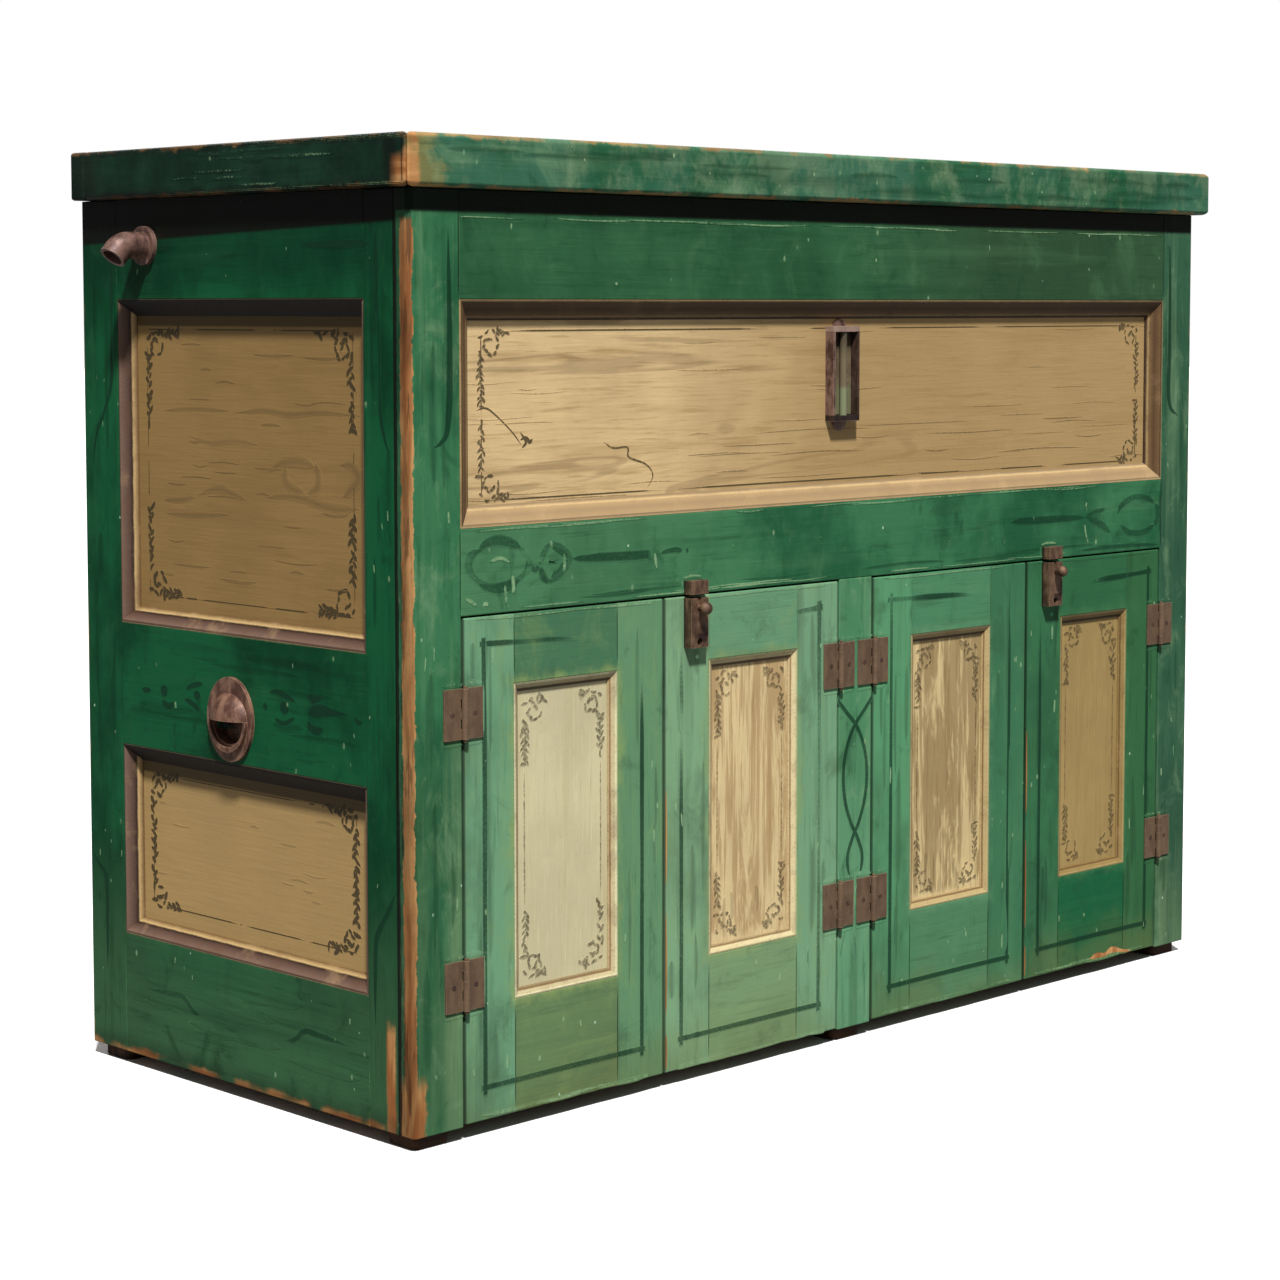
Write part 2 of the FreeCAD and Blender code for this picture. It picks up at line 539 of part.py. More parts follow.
def door(number, left, right, hinged):
    """A framed door: stiles and rails as one ring, a grooved-in panel, its moulding and two hinges."""
    left_play, right_play = ("door_gap", "door_gap / 2") if hinged == "left" else ("door_gap / 2", "door_gap")
    x = f"({left} + {left_play})"
    width = f"({right} - {left} - {left_play} - {right_play})"
    opening_x = f"({x} + door_stile_width)"
    opening_z = "(door_bottom + door_bottom_rail_width)"
    opening_width = f"({width} - 2 * door_stile_width)"
    opening_height = f"({DOOR_HEIGHT} - door_top_rail_width - door_bottom_rail_width)"
    groove = box(f"{opening_x} - groove_depth", "door_recess", f"{opening_z} - groove_depth",
                 f"{opening_width} + 2 * groove_depth", "panel_thickness",
                 f"{opening_height} + 2 * groove_depth")
    hollow = box(opening_x, "0", opening_z, opening_width, "door_thickness", opening_height)
    slab = box(x, "0", "door_bottom", width, "door_thickness", DOOR_HEIGHT)
    node(cut(slab, hollow, groove), f"door_{number}_frame")
    play = "groove_depth - groove_play"
    node(box(f"{opening_x} - ({play})", "door_recess", f"{opening_z} - ({play})",
             f"{opening_width} + 2 * ({play})", "panel_thickness", f"{opening_height} + 2 * ({play})"),
         f"door_{number}_panel")
    node(moulding(opening_x, "0", opening_z, opening_width, opening_height, "door_recess",
                  "door_moulding_width", "door_moulding_flat"), f"door_{number}_moulding")
    side = 1 if hinged == "left" else -1
    pin_x = f"({left} + door_gap / 2)" if hinged == "left" else f"({right} - door_gap / 2)"
    moving = [door_leaf(pin_x, bottom, side, MOVING_KNUCKLES, False) for bottom in HINGE_BOTTOMS]
    node(group(*moving), f"door_{number}_hinge_leaves")
    return [door_leaf(pin_x, bottom, -side, FRAME_KNUCKLES, True) for bottom in HINGE_BOTTOMS]


fixed_leaves = []
for door_entry in DOORS:
    fixed_leaves += door(*door_entry)
node(group(*fixed_leaves), "door_hinge_fixed_leaves")

# ---------------------------------------------------------------- sliding catches

CATCH_TOP = "(door_top - catch_top_gap)"
CHANNEL_FRONT = "(catch_depth - catch_front_wall)"


def catch(side_name, door_left):
    """A cast housing on the door, the bolt that slides up out of it and the keeper on the rail above."""
    x = f"({door_left} + catch_inset)"
    centre_x = f"({x} + catch_width / 2)"
    bottom = f"({CATCH_TOP} - catch_height)"
    channel_width = "(bolt_width + 2 * bolt_play)"
    channel_depth = "(bolt_thickness + 2 * bolt_play)"
    stem_z = f"({CATCH_TOP} - stem_drop)"
    slot_half = "(stem_radius + bolt_play)"
    casting = box(x, "0 - catch_depth", bottom, "catch_width", "catch_depth", "catch_height")
    channel = box(f"{centre_x} - {channel_width} / 2", f"0 - {CHANNEL_FRONT}", bottom, channel_width,
                  channel_depth, "catch_height")
    slot = box(f"{centre_x} - {slot_half}", "0 - catch_depth", f"{stem_z} - {slot_half}", f"2 * {slot_half}",
               "catch_front_wall", f"stem_drop + {slot_half}")
    hole = cylinder(centre_x, "0 - catch_depth", f"{bottom} + catch_hole_height", "catch_hole_radius",
                    "catch_front_wall", ALONG_BACK)
    node(cut(casting, channel, slot, hole), f"{side_name}_catch_housing")

    bar = box(f"{centre_x} - bolt_width / 2", f"0 - {CHANNEL_FRONT} + bolt_play",
              f"{CATCH_TOP} - bolt_height", "bolt_width", "bolt_thickness", "bolt_height")
    stem = cylinder(centre_x, "knob_radius - knob_reach", stem_z, "stem_radius",
                    f"knob_reach - knob_radius - {CHANNEL_FRONT} + bolt_play + bolt_thickness / 2",
                    ALONG_BACK)
    knob = doc.addObject("Part::Sphere", "Knob")
    bind(knob, Radius="knob_radius")
    place(knob, centre_x, "knob_radius - knob_reach", stem_z)
    node(fuse(bar, stem, knob), f"{side_name}_catch_bolt")

    keeper_z = "middle_rail_bottom + keeper_gap"
    block = box(x, "0 - catch_depth", keeper_z, "catch_width", "catch_depth", "keeper_height")
    socket = box(f"{centre_x} - {channel_width} / 2", f"0 - {CHANNEL_FRONT}", keeper_z, channel_width,
                 channel_depth, "bolt_travel")
    node(cut(block, socket), f"{side_name}_catch_keeper")


catch("left", "left_door_split")
catch("right", "right_door_split")

# ---------------------------------------------------------------- thermometer

CASE_BACK = "front_recess"
case_front = "(front_recess - case_depth)"
case_right_wall_x = "case_left + case_width - case_wall"
case_centre_x = "(case_left + case_width / 2)"
bar_width = "(case_width - 2 * case_wall)"
case_pieces = [
    box("case_left", f"{CASE_BACK} - case_plate", "case_bottom", "case_width", "case_plate", "case_height"),
    box("case_left", case_front, "case_bottom", "case_wall", "case_depth", "case_height"),
    box(case_right_wall_x, case_front, "case_bottom", "case_wall", "case_depth", "case_height"),
    box("case_left + case_wall", case_front, "case_bottom + case_height - case_bar_height", bar_width,
        "case_depth", "case_bar_height"),
    box("case_left + case_wall", case_front, "case_bottom", bar_width, "case_depth", "case_bar_height"),
    cylinder(case_centre_x, f"{CASE_BACK} - case_plate", "case_bottom + case_height - top_lug_lap",
             "case_lug_radius", "case_plate", ALONG_BACK),
    cylinder(case_centre_x, f"{CASE_BACK} - case_plate", "case_bottom", "case_lug_radius", "case_plate",
             ALONG_BACK),
]
node(fuse(*case_pieces), "thermometer_case")
node(box("case_left + case_wall + scale_margin", f"{CASE_BACK} - case_plate - scale_thickness",
         "case_bottom + case_bar_height + scale_margin", f"{bar_width} - 2 * scale_margin", "scale_thickness",
         "case_height - 2 * case_bar_height - 2 * scale_margin"), "thermometer_scale")
tube_y = f"({CASE_BACK} - case_plate - scale_thickness - tube_radius)"
node(cylinder(case_centre_x, tube_y, "case_bottom + case_bar_height", "tube_radius",
              "case_height - 2 * case_bar_height"), "thermometer_tube")

# ---------------------------------------------------------------- drain spout


def bend(radius):
    """Round bar turned from the level run down to the slanting end."""
    part_turn = doc.addObject("Part::Torus", "Bend")
    bind(part_turn, Radius1="spout_bend_radius", Radius2=radius, Angle3="spout_bend_angle")
    turn = FreeCAD.Rotation(Z_AXIS, X_AXIS * -1, Y_AXIS * -1, "XZY")
    return place(part_turn, "0 - spout_run", "spout_from_front", "spout_height - spout_bend_radius", turn)


def spout_path(radius, overrun="0"):
    """The run through the side, the bend and the slanting end, as one round bar."""
    run = cylinder("0 - spout_run", "spout_from_front", "spout_height", radius,
                   "spout_run + side_thickness + tank_wall", ALONG_X)
    slant = cylinder("0 - spout_run - spout_bend_radius * sin(spout_bend_angle)", "spout_from_front",
                     "spout_height - spout_bend_radius * (1 - cos(spout_bend_angle))", radius,
                     f"spout_end_length + {overrun}", SPOUT_SLANT)
    return fuse(run, bend(radius), slant)


flange = cylinder("0 - flange_thickness", "spout_from_front", "spout_height", "flange_radius",
                  "flange_thickness", ALONG_X)
node(cut(fuse(spout_path("spout_radius"), flange), spout_path("spout_bore_radius", "tank_wall")),
     "drain_spout")

# ---------------------------------------------------------------- lift handles


def ellipsoid(reach, half_width, rise):
    solid = doc.addObject("Part::Ellipsoid", "Hood")
    bind(solid, Radius1=rise, Radius2=reach, Radius3=half_width)
    solid.Angle1 = -90
    return place(solid, "0", "handle_from_front", "handle_height")


def mouth_box(bottom, top):
    """The space in front of the plate between two heights about the handle's middle."""
    return box("0 - 2 * hood_reach", "handle_from_front - 2 * handle_half_width", f"handle_height + {bottom}",
               "2 * hood_reach", "4 * handle_half_width", f"{top} - ({bottom})")


hood_shell = cut(ellipsoid("hood_reach", "hood_half_width", "hood_rise"),
                 ellipsoid("hood_reach - hood_wall", "hood_half_width - hood_wall", "hood_rise - hood_wall"))
hood = doc.addObject("Part::Common", "UpperHood")
hood.Base = hood_shell
hood.Tool = mouth_box("0", "2 * hood_rise")
lip = doc.addObject("Part::Common", "LowerLip")
lip.Base = cut(oval(sheet.hood_half_width, sheet.handle_lip_drop, sheet.handle_lip_reach,
                    "0 - handle_lip_reach"),
               oval(sheet.hood_half_width - sheet.hood_wall, sheet.handle_lip_inner_drop,
                    sheet.handle_lip_reach, "0 - handle_lip_reach"))
lip.Tool = mouth_box("0 - 2 * hood_rise", "0")
handle_back = oval(sheet.handle_half_width, sheet.handle_half_height, sheet.handle_plate, "0 - handle_plate")
cup = oval(sheet.cup_half_width, sheet.cup_half_height, sheet.cup_depth, "0", sheet.cup_drop)
cup_hollow = oval(sheet.cup_half_width - sheet.cup_wall, sheet.cup_half_height - sheet.cup_wall,
                  sheet.cup_depth - sheet.cup_wall + sheet.handle_plate, "0 - handle_plate", sheet.cup_drop)
left_handle = fuse(cut(fuse(handle_back, cup), cup_hollow), hood, lip)
node(left_handle, "left_lift_handle")
node(mirrored(left_handle), "right_lift_handle")

# ---------------------------------------------------------------- check and write

doc.recompute()
for thing in doc.Objects:
    if "Invalid" in thing.State or "Error" in thing.State:
        raise RuntimeError(f"{thing.Name} ({thing.Label}) failed: {thing.State}")
os.makedirs("parts", exist_ok=True)
for thing in nodes:
    if thing.Shape.isNull() or not thing.Shape.isValid():
        raise RuntimeError(f"{thing.Label} has no valid shape")
for thing in nodes:
    thing.Shape.exportStep(f"parts/{thing.Label}.step")
print(len(nodes), "sub-parts")
for thing in nodes:
    limits = thing.Shape.optimalBoundingBox(False)
    print(f"{thing.Label:26s} solids {len(thing.Shape.Solids)} volume {thing.Shape.Volume:12.0f}"
          f" x {limits.XMin:8.1f} {limits.XMax:8.1f} y {limits.YMin:8.1f} {limits.YMax:8.1f}"
          f" z {limits.ZMin:7.1f} {limits.ZMax:7.1f}")
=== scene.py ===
"""Paint, ornament, fittings, light and camera for a painted pine dry sink cabinet."""

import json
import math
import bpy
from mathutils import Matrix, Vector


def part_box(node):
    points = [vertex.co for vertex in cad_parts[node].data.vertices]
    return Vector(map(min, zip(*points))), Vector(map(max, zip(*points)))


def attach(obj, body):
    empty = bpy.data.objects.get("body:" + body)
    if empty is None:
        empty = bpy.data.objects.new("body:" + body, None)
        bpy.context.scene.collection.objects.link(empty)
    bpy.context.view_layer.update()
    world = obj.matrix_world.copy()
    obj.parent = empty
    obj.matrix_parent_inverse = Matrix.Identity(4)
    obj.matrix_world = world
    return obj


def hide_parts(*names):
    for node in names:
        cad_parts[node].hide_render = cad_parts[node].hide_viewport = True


bl_info = {
    "name": "Dry Sink Cabinet",
    "version": (1, 0, 0),
    "blender": (4, 5, 0),
    "location": "3D View > Sidebar > Cabinet",
    "description": "Finishes a painted pine dry sink cabinet with doors, catches and a spout",
    "category": "Object",
}

import bmesh
import bpy
import numpy as np
from mathutils import Vector

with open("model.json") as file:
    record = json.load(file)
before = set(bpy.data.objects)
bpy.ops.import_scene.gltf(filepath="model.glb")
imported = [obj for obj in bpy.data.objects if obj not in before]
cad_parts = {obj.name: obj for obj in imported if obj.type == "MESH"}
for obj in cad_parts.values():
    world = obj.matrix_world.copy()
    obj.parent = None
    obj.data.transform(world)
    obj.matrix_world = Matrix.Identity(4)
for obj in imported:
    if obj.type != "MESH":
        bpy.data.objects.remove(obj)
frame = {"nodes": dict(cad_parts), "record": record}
NODES = frame["nodes"]
BODIES = frame["record"]["behaviour"]["bodies"]
BODY_OF = {node: body for body, members in BODIES.items() for node in members}
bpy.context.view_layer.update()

LEFT, FRONT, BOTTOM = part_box("front_stile_left")[0]
MM = 0.001
DOORS = (1, 2, 3, 4)

# Lengths below are in cabinet millimetres.
# Each door's hinge pin, and the way from the pin to the door.
HINGE_PINS = ((63, 1), (603.5, -1), (657.5, 1), (1192, -1))
# Foot and head of the lower and the upper hinges.
HINGE_HEIGHTS = ((114.5, 163.5), (377.5, 426.5))
LEAF_WIDTH = 24.5
LEAF_THICK = 2.0
SCREW_FROM_PIN = 14.2
# The left side of each catch, by the door that has it.
CATCHES = {2: 364, 4: 959}
# Lower and upper edge of an end's middle rail between its panels' mouldings.
END_RAIL = (330.0, 459.0)
# Heights where the painted shadow of the lid's overhang begins on the front and where it is full.
UNDER_LID = (876, 880)
# How a pattern is drawn out along the grain, by the way that the grain runs.
GRAIN = {"x": (0.09, 1.0, 1.0), "y": (1.0, 0.09, 1.0), "z": (1.0, 1.0, 0.09)}


def srgb(red, green, blue):
    """A colour picked on a 0 to 255 screen scale, as the linear numbers that a shader takes."""
    level = np.array((red, green, blue)) / 255.0
    linear = np.where(level <= 0.04045, level / 12.92, ((level + 0.055) / 1.055) ** 2.4)
    return tuple(float(part) for part in linear)


def tints(*rows):
    """Rows of screen colours, one row for each door, by door number."""
    return {number: [srgb(*tint) for tint in row] for number, row in enumerate(rows, 1)}


def ring_stops(*rows):
    """Rings of colour: where each starts, in millimetres, and its colour for the shader."""
    return [(start, srgb(*tint)) for start, *tint in rows]


def scaled(colour, factor):
    """A colour made darker or lighter by a factor."""
    return tuple(part * factor for part in colour)


def span(node):
    """A node's lowest and highest corner in cabinet millimetres."""
    corner = np.array((LEFT, FRONT, BOTTOM))
    low, high = (np.array(end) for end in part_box(node))
    return (low - corner) / MM, (high - corner) / MM


def colour_of(name, red, green, blue, words):
    """A colour setting with a name and a few words on where it shows."""
    return bpy.props.FloatVectorProperty(
        name=name, description=words, subtype="COLOR", size=3, min=0, max=1,
        default=srgb(red, green, blue),
    )


def length_of(name, millimetres, words):
    """A length setting, kept in metres."""
    return bpy.props.FloatProperty(
        name=name, description=words, subtype="DISTANCE", unit="LENGTH", min=0,
        default=millimetres * MM,
    )


class CabinetSizes(bpy.types.PropertyGroup):
    """Small sizes of the finish that a joiner or painter would set."""

    arris: length_of("Arris", 1.1, "How far the boards' edges are rounded over")
    film: length_of("Paint film", 0.12, "How far ornament and smudges stand off the board")
    screw: length_of("Screw head", 2.7, "Radius of the slotted screw heads")


class CabinetColours(bpy.types.PropertyGroup):
    """Colours of paint, wood and metal."""

    front_light: colour_of("Front green, light", 58, 116, 78, "Sunlit green of the front")
    front_dark: colour_of("Front green, dark", 32, 88, 56, "Deeper green of the front")
    # The end greens are set darker than the front's, partly for less faded paint and partly as
    # painted shade of the ends.
    side_light: colour_of("Side green, light", 16, 88, 52, "Green of the ends where it is fresh")
    side_dark: colour_of("Side green, dark", 2, 62, 34, "Deeper green of the ends")
    lid_light: colour_of("Lid green, light", 56, 104, 80, "Green of the lid's front edge")
    lid_dark: colour_of("Lid green, dark", 24, 58, 42, "Dull green of the lid's ends")
    pale: colour_of("Worn green", 140, 172, 128, "Thin, rubbed paint")
    print_ink: colour_of("Print", 62, 52, 30, "Brown-black of the stencilled panels")
    ink: colour_of("Ornament green", 12, 50, 32, "Dark green of stripes and scrolls")
    wood_light: colour_of("Bare pine, light", 206, 156, 100, "Bare wood between the grain lines")
    wood_dark: colour_of("Bare pine, dark", 150, 92, 50, "Grain lines of the bare wood")
    long_light: colour_of("Long panel, light", 216, 186, 136, "Tan of the long panel")
    long_dark: colour_of("Long panel, dark", 156, 126, 78, "Grain of the long panel")
    side_panel: colour_of("End panels", 166, 134, 82, "Ochre of the end panels")
    moulding: colour_of("Mouldings", 176, 144, 104, "Tan of the mouldings")
    moulding_dark: colour_of("Moulding shade", 92, 64, 44, "Brown in the mouldings' hollows")
    iron: colour_of("Iron", 114, 90, 68, "Red-brown of hinges and castings")
    iron_dark: colour_of("Iron, dark", 72, 52, 40, "Deep rust of the ironwork")
    inner_light: colour_of("Inner wood, light", 190, 156, 112, "Unpainted boards inside")
    inner_dark: colour_of("Inner wood, dark", 138, 104, 68, "Grain of the boards inside")
    zinc: colour_of("Zinc", 150, 156, 158, "Sheet metal of the tank")
    # Grime is also the colour of painted shadow: under the lid, behind the front stiles on the
    # ends and in the handle pockets.
    grime: colour_of("Grime", 12, 10, 8, "Dirt in joints and under edges")


class Finish:
    """One material's node tree, with every pattern in cabinet millimetres.

    Millimetres count from the lower left front corner of the carcass: x to the right, y to the
    back and z up.
    """

    def __init__(self, name):
        self.material = bpy.data.materials.new(name)
        self.material.use_nodes = True
        self.tree = self.material.node_tree
        self.tree.nodes.clear()
        place = self.make("ShaderNodeTexCoord").outputs["Object"]
        moved = self.vector("SUBTRACT", place, (LEFT, FRONT, BOTTOM))
        self.place = self.vector("MULTIPLY", moved, (1 / MM,) * 3)
        parts = self.make("ShaderNodeSeparateXYZ", Vector=self.place).outputs
        self.x, self.y, self.z = parts

    def make(self, kind, settings=(), **inputs):
        """Add a node, set what it is given and feed its named inputs."""
        node = self.tree.nodes.new(kind)
        for name, value in dict(settings).items():
            setattr(node, name, value)
        for name, value in inputs.items():
            self.feed(node.inputs[name.replace("_", " ")], value)
        return node

    def feed(self, socket, value):
        """Link a socket, or write a plain value on it."""
        if isinstance(value, bpy.types.NodeSocket):
            self.tree.links.new(value, socket)
        elif socket.type == "RGBA":
            socket.default_value = (*value, 1.0)
        else:
            socket.default_value = value

    def vector(self, operation, one, two):
        """One sum on two vectors."""
        node = self.make("ShaderNodeVectorMath", {"operation": operation})
        self.feed(node.inputs[0], one)
        self.feed(node.inputs[1], two)
        return node.outputs[0]

    def sum(self, operation, *values):
        """One sum on plain numbers."""
        node = self.make("ShaderNodeMath", {"operation": operation})
        for socket, value in zip(node.inputs, values):
            self.feed(socket, value)
        return node.outputs[0]

    def fold(self, operation, result, *values):
        """One sum carried on over several values."""
        for value in values:
            result = self.sum(operation, result, value)
        return result

    def times(self, *values):
        """The product of all the values."""
        return self.fold("MULTIPLY", *values)

    def plus(self, *values):
        """The total of all the values."""
        return self.fold("ADD", *values)

    def most(self, *values):
        """The largest of the values."""
        return self.fold("MAXIMUM", *values)

    def less(self, one, two):
        """One value less the other."""
        return self.fold("SUBTRACT", one, two)

    def step(self, value, low, high, start=0.0, end=1.0):
        """A smooth rise from start to end while the value goes from low to high."""
        node = self.make("ShaderNodeMapRange", {"interpolation_type": "SMOOTHSTEP"})
        for socket, number in zip(node.inputs, (value, low, high, start, end)):
            self.feed(socket, number)
        return node.outputs[0]

    def band(self, value, low, high, soft):
        """One inside low to high and nothing outside, with soft ends."""
        rise = self.step(value, low - soft, low + soft)
        fall = self.step(value, high - soft, high + soft, 1.0, 0.0)
        return self.times(rise, fall)

    def spread(self, size, stretch, shift=0.0):
        """The place scaled so that one unit is the size given, drawn out by the stretch."""
        scaled = self.vector("MULTIPLY", self.place, tuple(part / size for part in stretch))
        if shift:
            return self.vector("ADD", scaled, (shift, shift * 1.7, shift * 0.6))
        return scaled

    def noise(self, size, stretch=(1.0, 1.0, 1.0), detail=3.0, rough=0.55, shift=0.0, bend=0.0):
        """Cloudy values about one half; size is that of the larger clouds, in millimetres."""
        node = self.make(
            "ShaderNodeTexNoise", Vector=self.spread(size, stretch, shift), Scale=1.0,
            Detail=detail, Roughness=rough, Distortion=bend,
        )
        return node.outputs["Fac"]

    def cells(self, size, stretch=(1.0, 1.0, 1.0), shift=0.0):
        """Distance from the middle of scattered cells."""
        where = self.spread(size, stretch, shift)
        return self.make("ShaderNodeTexVoronoi", Vector=where, Scale=1.0).outputs["Distance"]

    def wave(self, reach, size, *shape, **more):
        """Noise that swings about nothing, by half the reach each way."""
        return self.times(self.less(self.noise(size, *shape, **more), 0.5), reach)

    def over(self, colour, tint, *shares):
        """A tint laid over a colour by the product of the shares."""
        node = self.make("ShaderNodeMix", {"data_type": "RGBA"})
        for place, value in ((0, self.times(*shares)), (6, colour), (7, tint)):
            self.feed(node.inputs[place], value)
        return node.outputs[2]

    def from_edge(self, low, high, across="x"):
        """Distance outside an upright rectangle between two corners, negative inside it."""
        centre, half = (np.array(low) + high) / 2, (np.array(high) - low) / 2
        away = self.vector("SUBTRACT", self.place, tuple(map(float, centre)))
        size = self.make("ShaderNodeVectorMath", {"operation": "ABSOLUTE"})
        self.feed(size.inputs[0], away)
        parts = self.make("ShaderNodeSeparateXYZ", Vector=size.outputs[0]).outputs
        way = "xyz".index(across)
        return self.most(
            self.less(parts[way], float(half[way])),
            self.less(parts[2], float(half[2])),
        )

    def rings(self, depth, stops):
        """Colours laid in rings by depth; each stop is the depth where a colour starts."""
        deepest = stops[-1][0] + 1.0
        ramp = self.make("ShaderNodeValToRGB")
        self.feed(ramp.inputs[0], self.sum("DIVIDE", depth, deepest))
        points = ramp.color_ramp.elements
        while len(points) < len(stops):
            points.new(0.5)
        for point, (start, colour) in zip(points, stops):
            point.position = start / deepest
            point.color = (*colour, 1.0)
        return ramp.outputs[0]

    def arris(self, radius):
        """A share that rises towards the piece's edges, where the rounded normal turns."""
        rounded = self.make("ShaderNodeBevel", {"samples": 6}, Radius=radius * MM)
        plain = self.make("ShaderNodeNewGeometry").outputs["True Normal"]
        node = self.make("ShaderNodeVectorMath", {"operation": "DOT_PRODUCT"})
        self.feed(node.inputs[0], rounded.outputs[0])
        self.feed(node.inputs[1], plain)
        return self.step(node.outputs["Value"], 0.995, 0.72)

    def marks(self):
        """Shares of ink, rubbed paint and bare wood that a film carries; none elsewhere."""
        node = self.make("ShaderNodeAttribute", {"attribute_name": "marks"})
        return self.make("ShaderNodeSeparateColor", Color=node.outputs["Color"]).outputs

    def carried(self, title):
        """A film's own share of grime or shade, or one all over it for film; none elsewhere."""
        return self.make("ShaderNodeAttribute", {"attribute_name": title}).outputs["Fac"]

    def rounded_edges(self, radius):
        """The arris share of the boards, kept off the thin edges of a film."""
        return self.times(self.arris(radius), self.less(1.0, self.carried("film")))

    def close(self, colour, rough, height=None, depth=0.3, **sockets):
        """Join colour, roughness and relief to the surface; depth is the relief in millimetres."""
        shader = self.make("ShaderNodeBsdfPrincipled", Base_Color=colour, Roughness=rough)
        for name, value in sockets.items():
            self.feed(shader.inputs[name.replace("_", " ")], value)
        if height is not None:
            relief = self.make("ShaderNodeBump", Height=height, Distance=depth * MM, Strength=1.0)
            self.feed(shader.inputs["Normal"], relief.outputs[0])
        end = self.make("ShaderNodeOutputMaterial")
        self.feed(end.inputs["Surface"], shader.outputs[0])
        return self.material


def bare_wood(finish, light, dark, grain):
    """Pine: broad figure, then fine lines drawn out along the grain."""
    figure = finish.noise(24, GRAIN[grain], 3, 0.6, shift=3.1, bend=0.6)
    lines = finish.noise(1.9, GRAIN[grain], 2, 0.6, shift=7.7)
    colour = finish.over(dark, light, finish.step(figure, 0.34, 0.66))
    return finish.over(colour, dark, finish.step(lines, 0.5, 0.75), 0.4)


def aged_back(f, colour, share, grain):
    """Old unpainted pine laid where the share says, as on a board's back."""
    wood = bpy.context.scene.cabinet_colours.wood_light
    return f.over(colour, bare_wood(f, scaled(wood, 0.78), scaled(wood, 0.48), grain), share)


def painted(name, light, dark, grain="z", tone=None, bare=None, dirt_and_shade=None, rubbed=1.0,
            worn_paint=None, rails=None):
    """Old paint over pine: clouds, brushed streaks, ornament, rubbing, bare wood, grime and
    painted shade.

    tone and bare take the finish and give a changed colour or one more share of bare wood; the
    third hook takes it and gives one more share of grime and painted shade.
    rails takes it too and gives the share of boards that lie across the others. rubbed scales
    the pale wear, and worn_paint is that wear's colour.
    """
    inks = bpy.context.scene.cabinet_colours
    f = Finish(name)
    pale = worn_paint or inks.pale
    other = rails(f) if rails else None

    def brushed(size, thin, detail, rough, shift=0.0):
        ways = [grain, "x"] if other else [grain]
        fields = []
        for way in ways:
            drawn = tuple(part if part == 1.0 else thin for part in GRAIN[way])
            fields.append(f.noise(size, drawn, detail, rough, shift=shift))
        if not other:
            return fields[0]
        return f.plus(fields[0], f.times(other, f.less(fields[1], fields[0])))

    column = brushed(34, 0.05, 3, 0.6, 2.9)
    streak = brushed(13, 0.11, 4, 0.66)
    hairs = brushed(3.2, 0.04, 3, 0.6, 6.1)
    grit = f.noise(3.0, (1, 1, 1), 3, 0.7)
    cloud = f.noise(170, (1.0, 1.0, 0.7), 5, 0.62, shift=1.3)
    patch = f.noise(46, (1.0, 1.0, 0.7), 5, 0.68, shift=5.2, bend=0.7)
    wood = bare_wood(f, inks.wood_light, inks.wood_dark, grain)
    colour = f.over(dark, light, f.step(cloud, 0.4, 0.6))
    if tone:
        colour = tone(f, colour)
    deep = scaled(dark, 0.5)
    colour = f.over(colour, pale, f.step(patch, 0.5, 0.72), 0.3 * rubbed)
    colour = f.over(colour, deep, f.step(patch, 0.46, 0.28), 0.5)
    colour = f.over(colour, pale, f.step(column, 0.54, 0.74), 0.3 * rubbed)
    colour = f.over(colour, deep, f.step(column, 0.46, 0.28), 0.4)
    colour = f.over(colour, deep, f.step(streak, 0.46, 0.26), 0.45)
    colour = f.over(colour, pale, f.step(hairs, 0.56, 0.78), 0.16 * rubbed)
    colour = f.over(colour, deep, f.step(hairs, 0.42, 0.26), 0.3)
    ink, thin, worn = f.marks()
    soil = f.carried("grime")
    colour = f.over(colour, deep, f.carried("shade"), f.step(streak, 0.3, 0.6, 0.45, 1.0))
    edge = f.rounded_edges(3.2)
    uneven = f.plus(f.times(f.less(grit, 0.5), 1.5), f.times(f.less(streak, 0.5), 1.3))
    hold = f.step(f.plus(ink, f.times(uneven, -0.45)), 0.05, 0.95)
    colour = f.over(colour, inks.ink, hold, 0.86)
    fleck = f.step(f.cells(34, (1.0, 1.0, 0.8), shift=6.6), 0.046, 0.03)
    spotted = f.cells(17, (1.0, 1.0, 0.55), shift=2.2)
    chip = f.times(f.step(spotted, 0.13, 0.07), f.step(patch, 0.52, 0.62), 0.6)
    rub = f.plus(f.times(thin, 0.9), f.times(edge, 0.7), f.times(uneven, 0.9))
    rub = f.most(f.times(f.step(rub, 0.5, 1.0), 0.8), chip)
    colour = f.over(colour, inks.pale, rub)
    colour = f.over(colour, srgb(176, 206, 176), fleck, f.step(streak, 0.44, 0.56), 0.85)
    strip = f.plus(worn, f.times(edge, 0.42), f.times(uneven, 0.75))
    strip = f.step(strip, 0.56, 0.74)
    if bare:
        strip = f.most(strip, bare(f))
    colour = f.over(colour, wood, strip)
    # Grime from the films and from the third hook; that hook also lays painted shade, such as the
    # lid's shadow.
    grime_and_shade = f.times(soil, f.step(grit, 0.25, 0.5, 0.75, 1.0))
    if dirt_and_shade:
        grime_and_shade = f.most(grime_and_shade, dirt_and_shade(f))
    colour = f.over(colour, inks.grime, grime_and_shade, 0.97)
    relief = f.plus(
        f.times(streak, 0.6), f.times(hairs, 0.35), f.times(grit, 0.22), f.times(strip, -0.4),
        f.times(rub, -0.15),
    )
    rough = f.plus(f.times(grit, 0.18), f.times(strip, 0.16), 0.44)
    return f.close(colour, rough, relief, 0.45, Specular_IOR_Level=0.12)


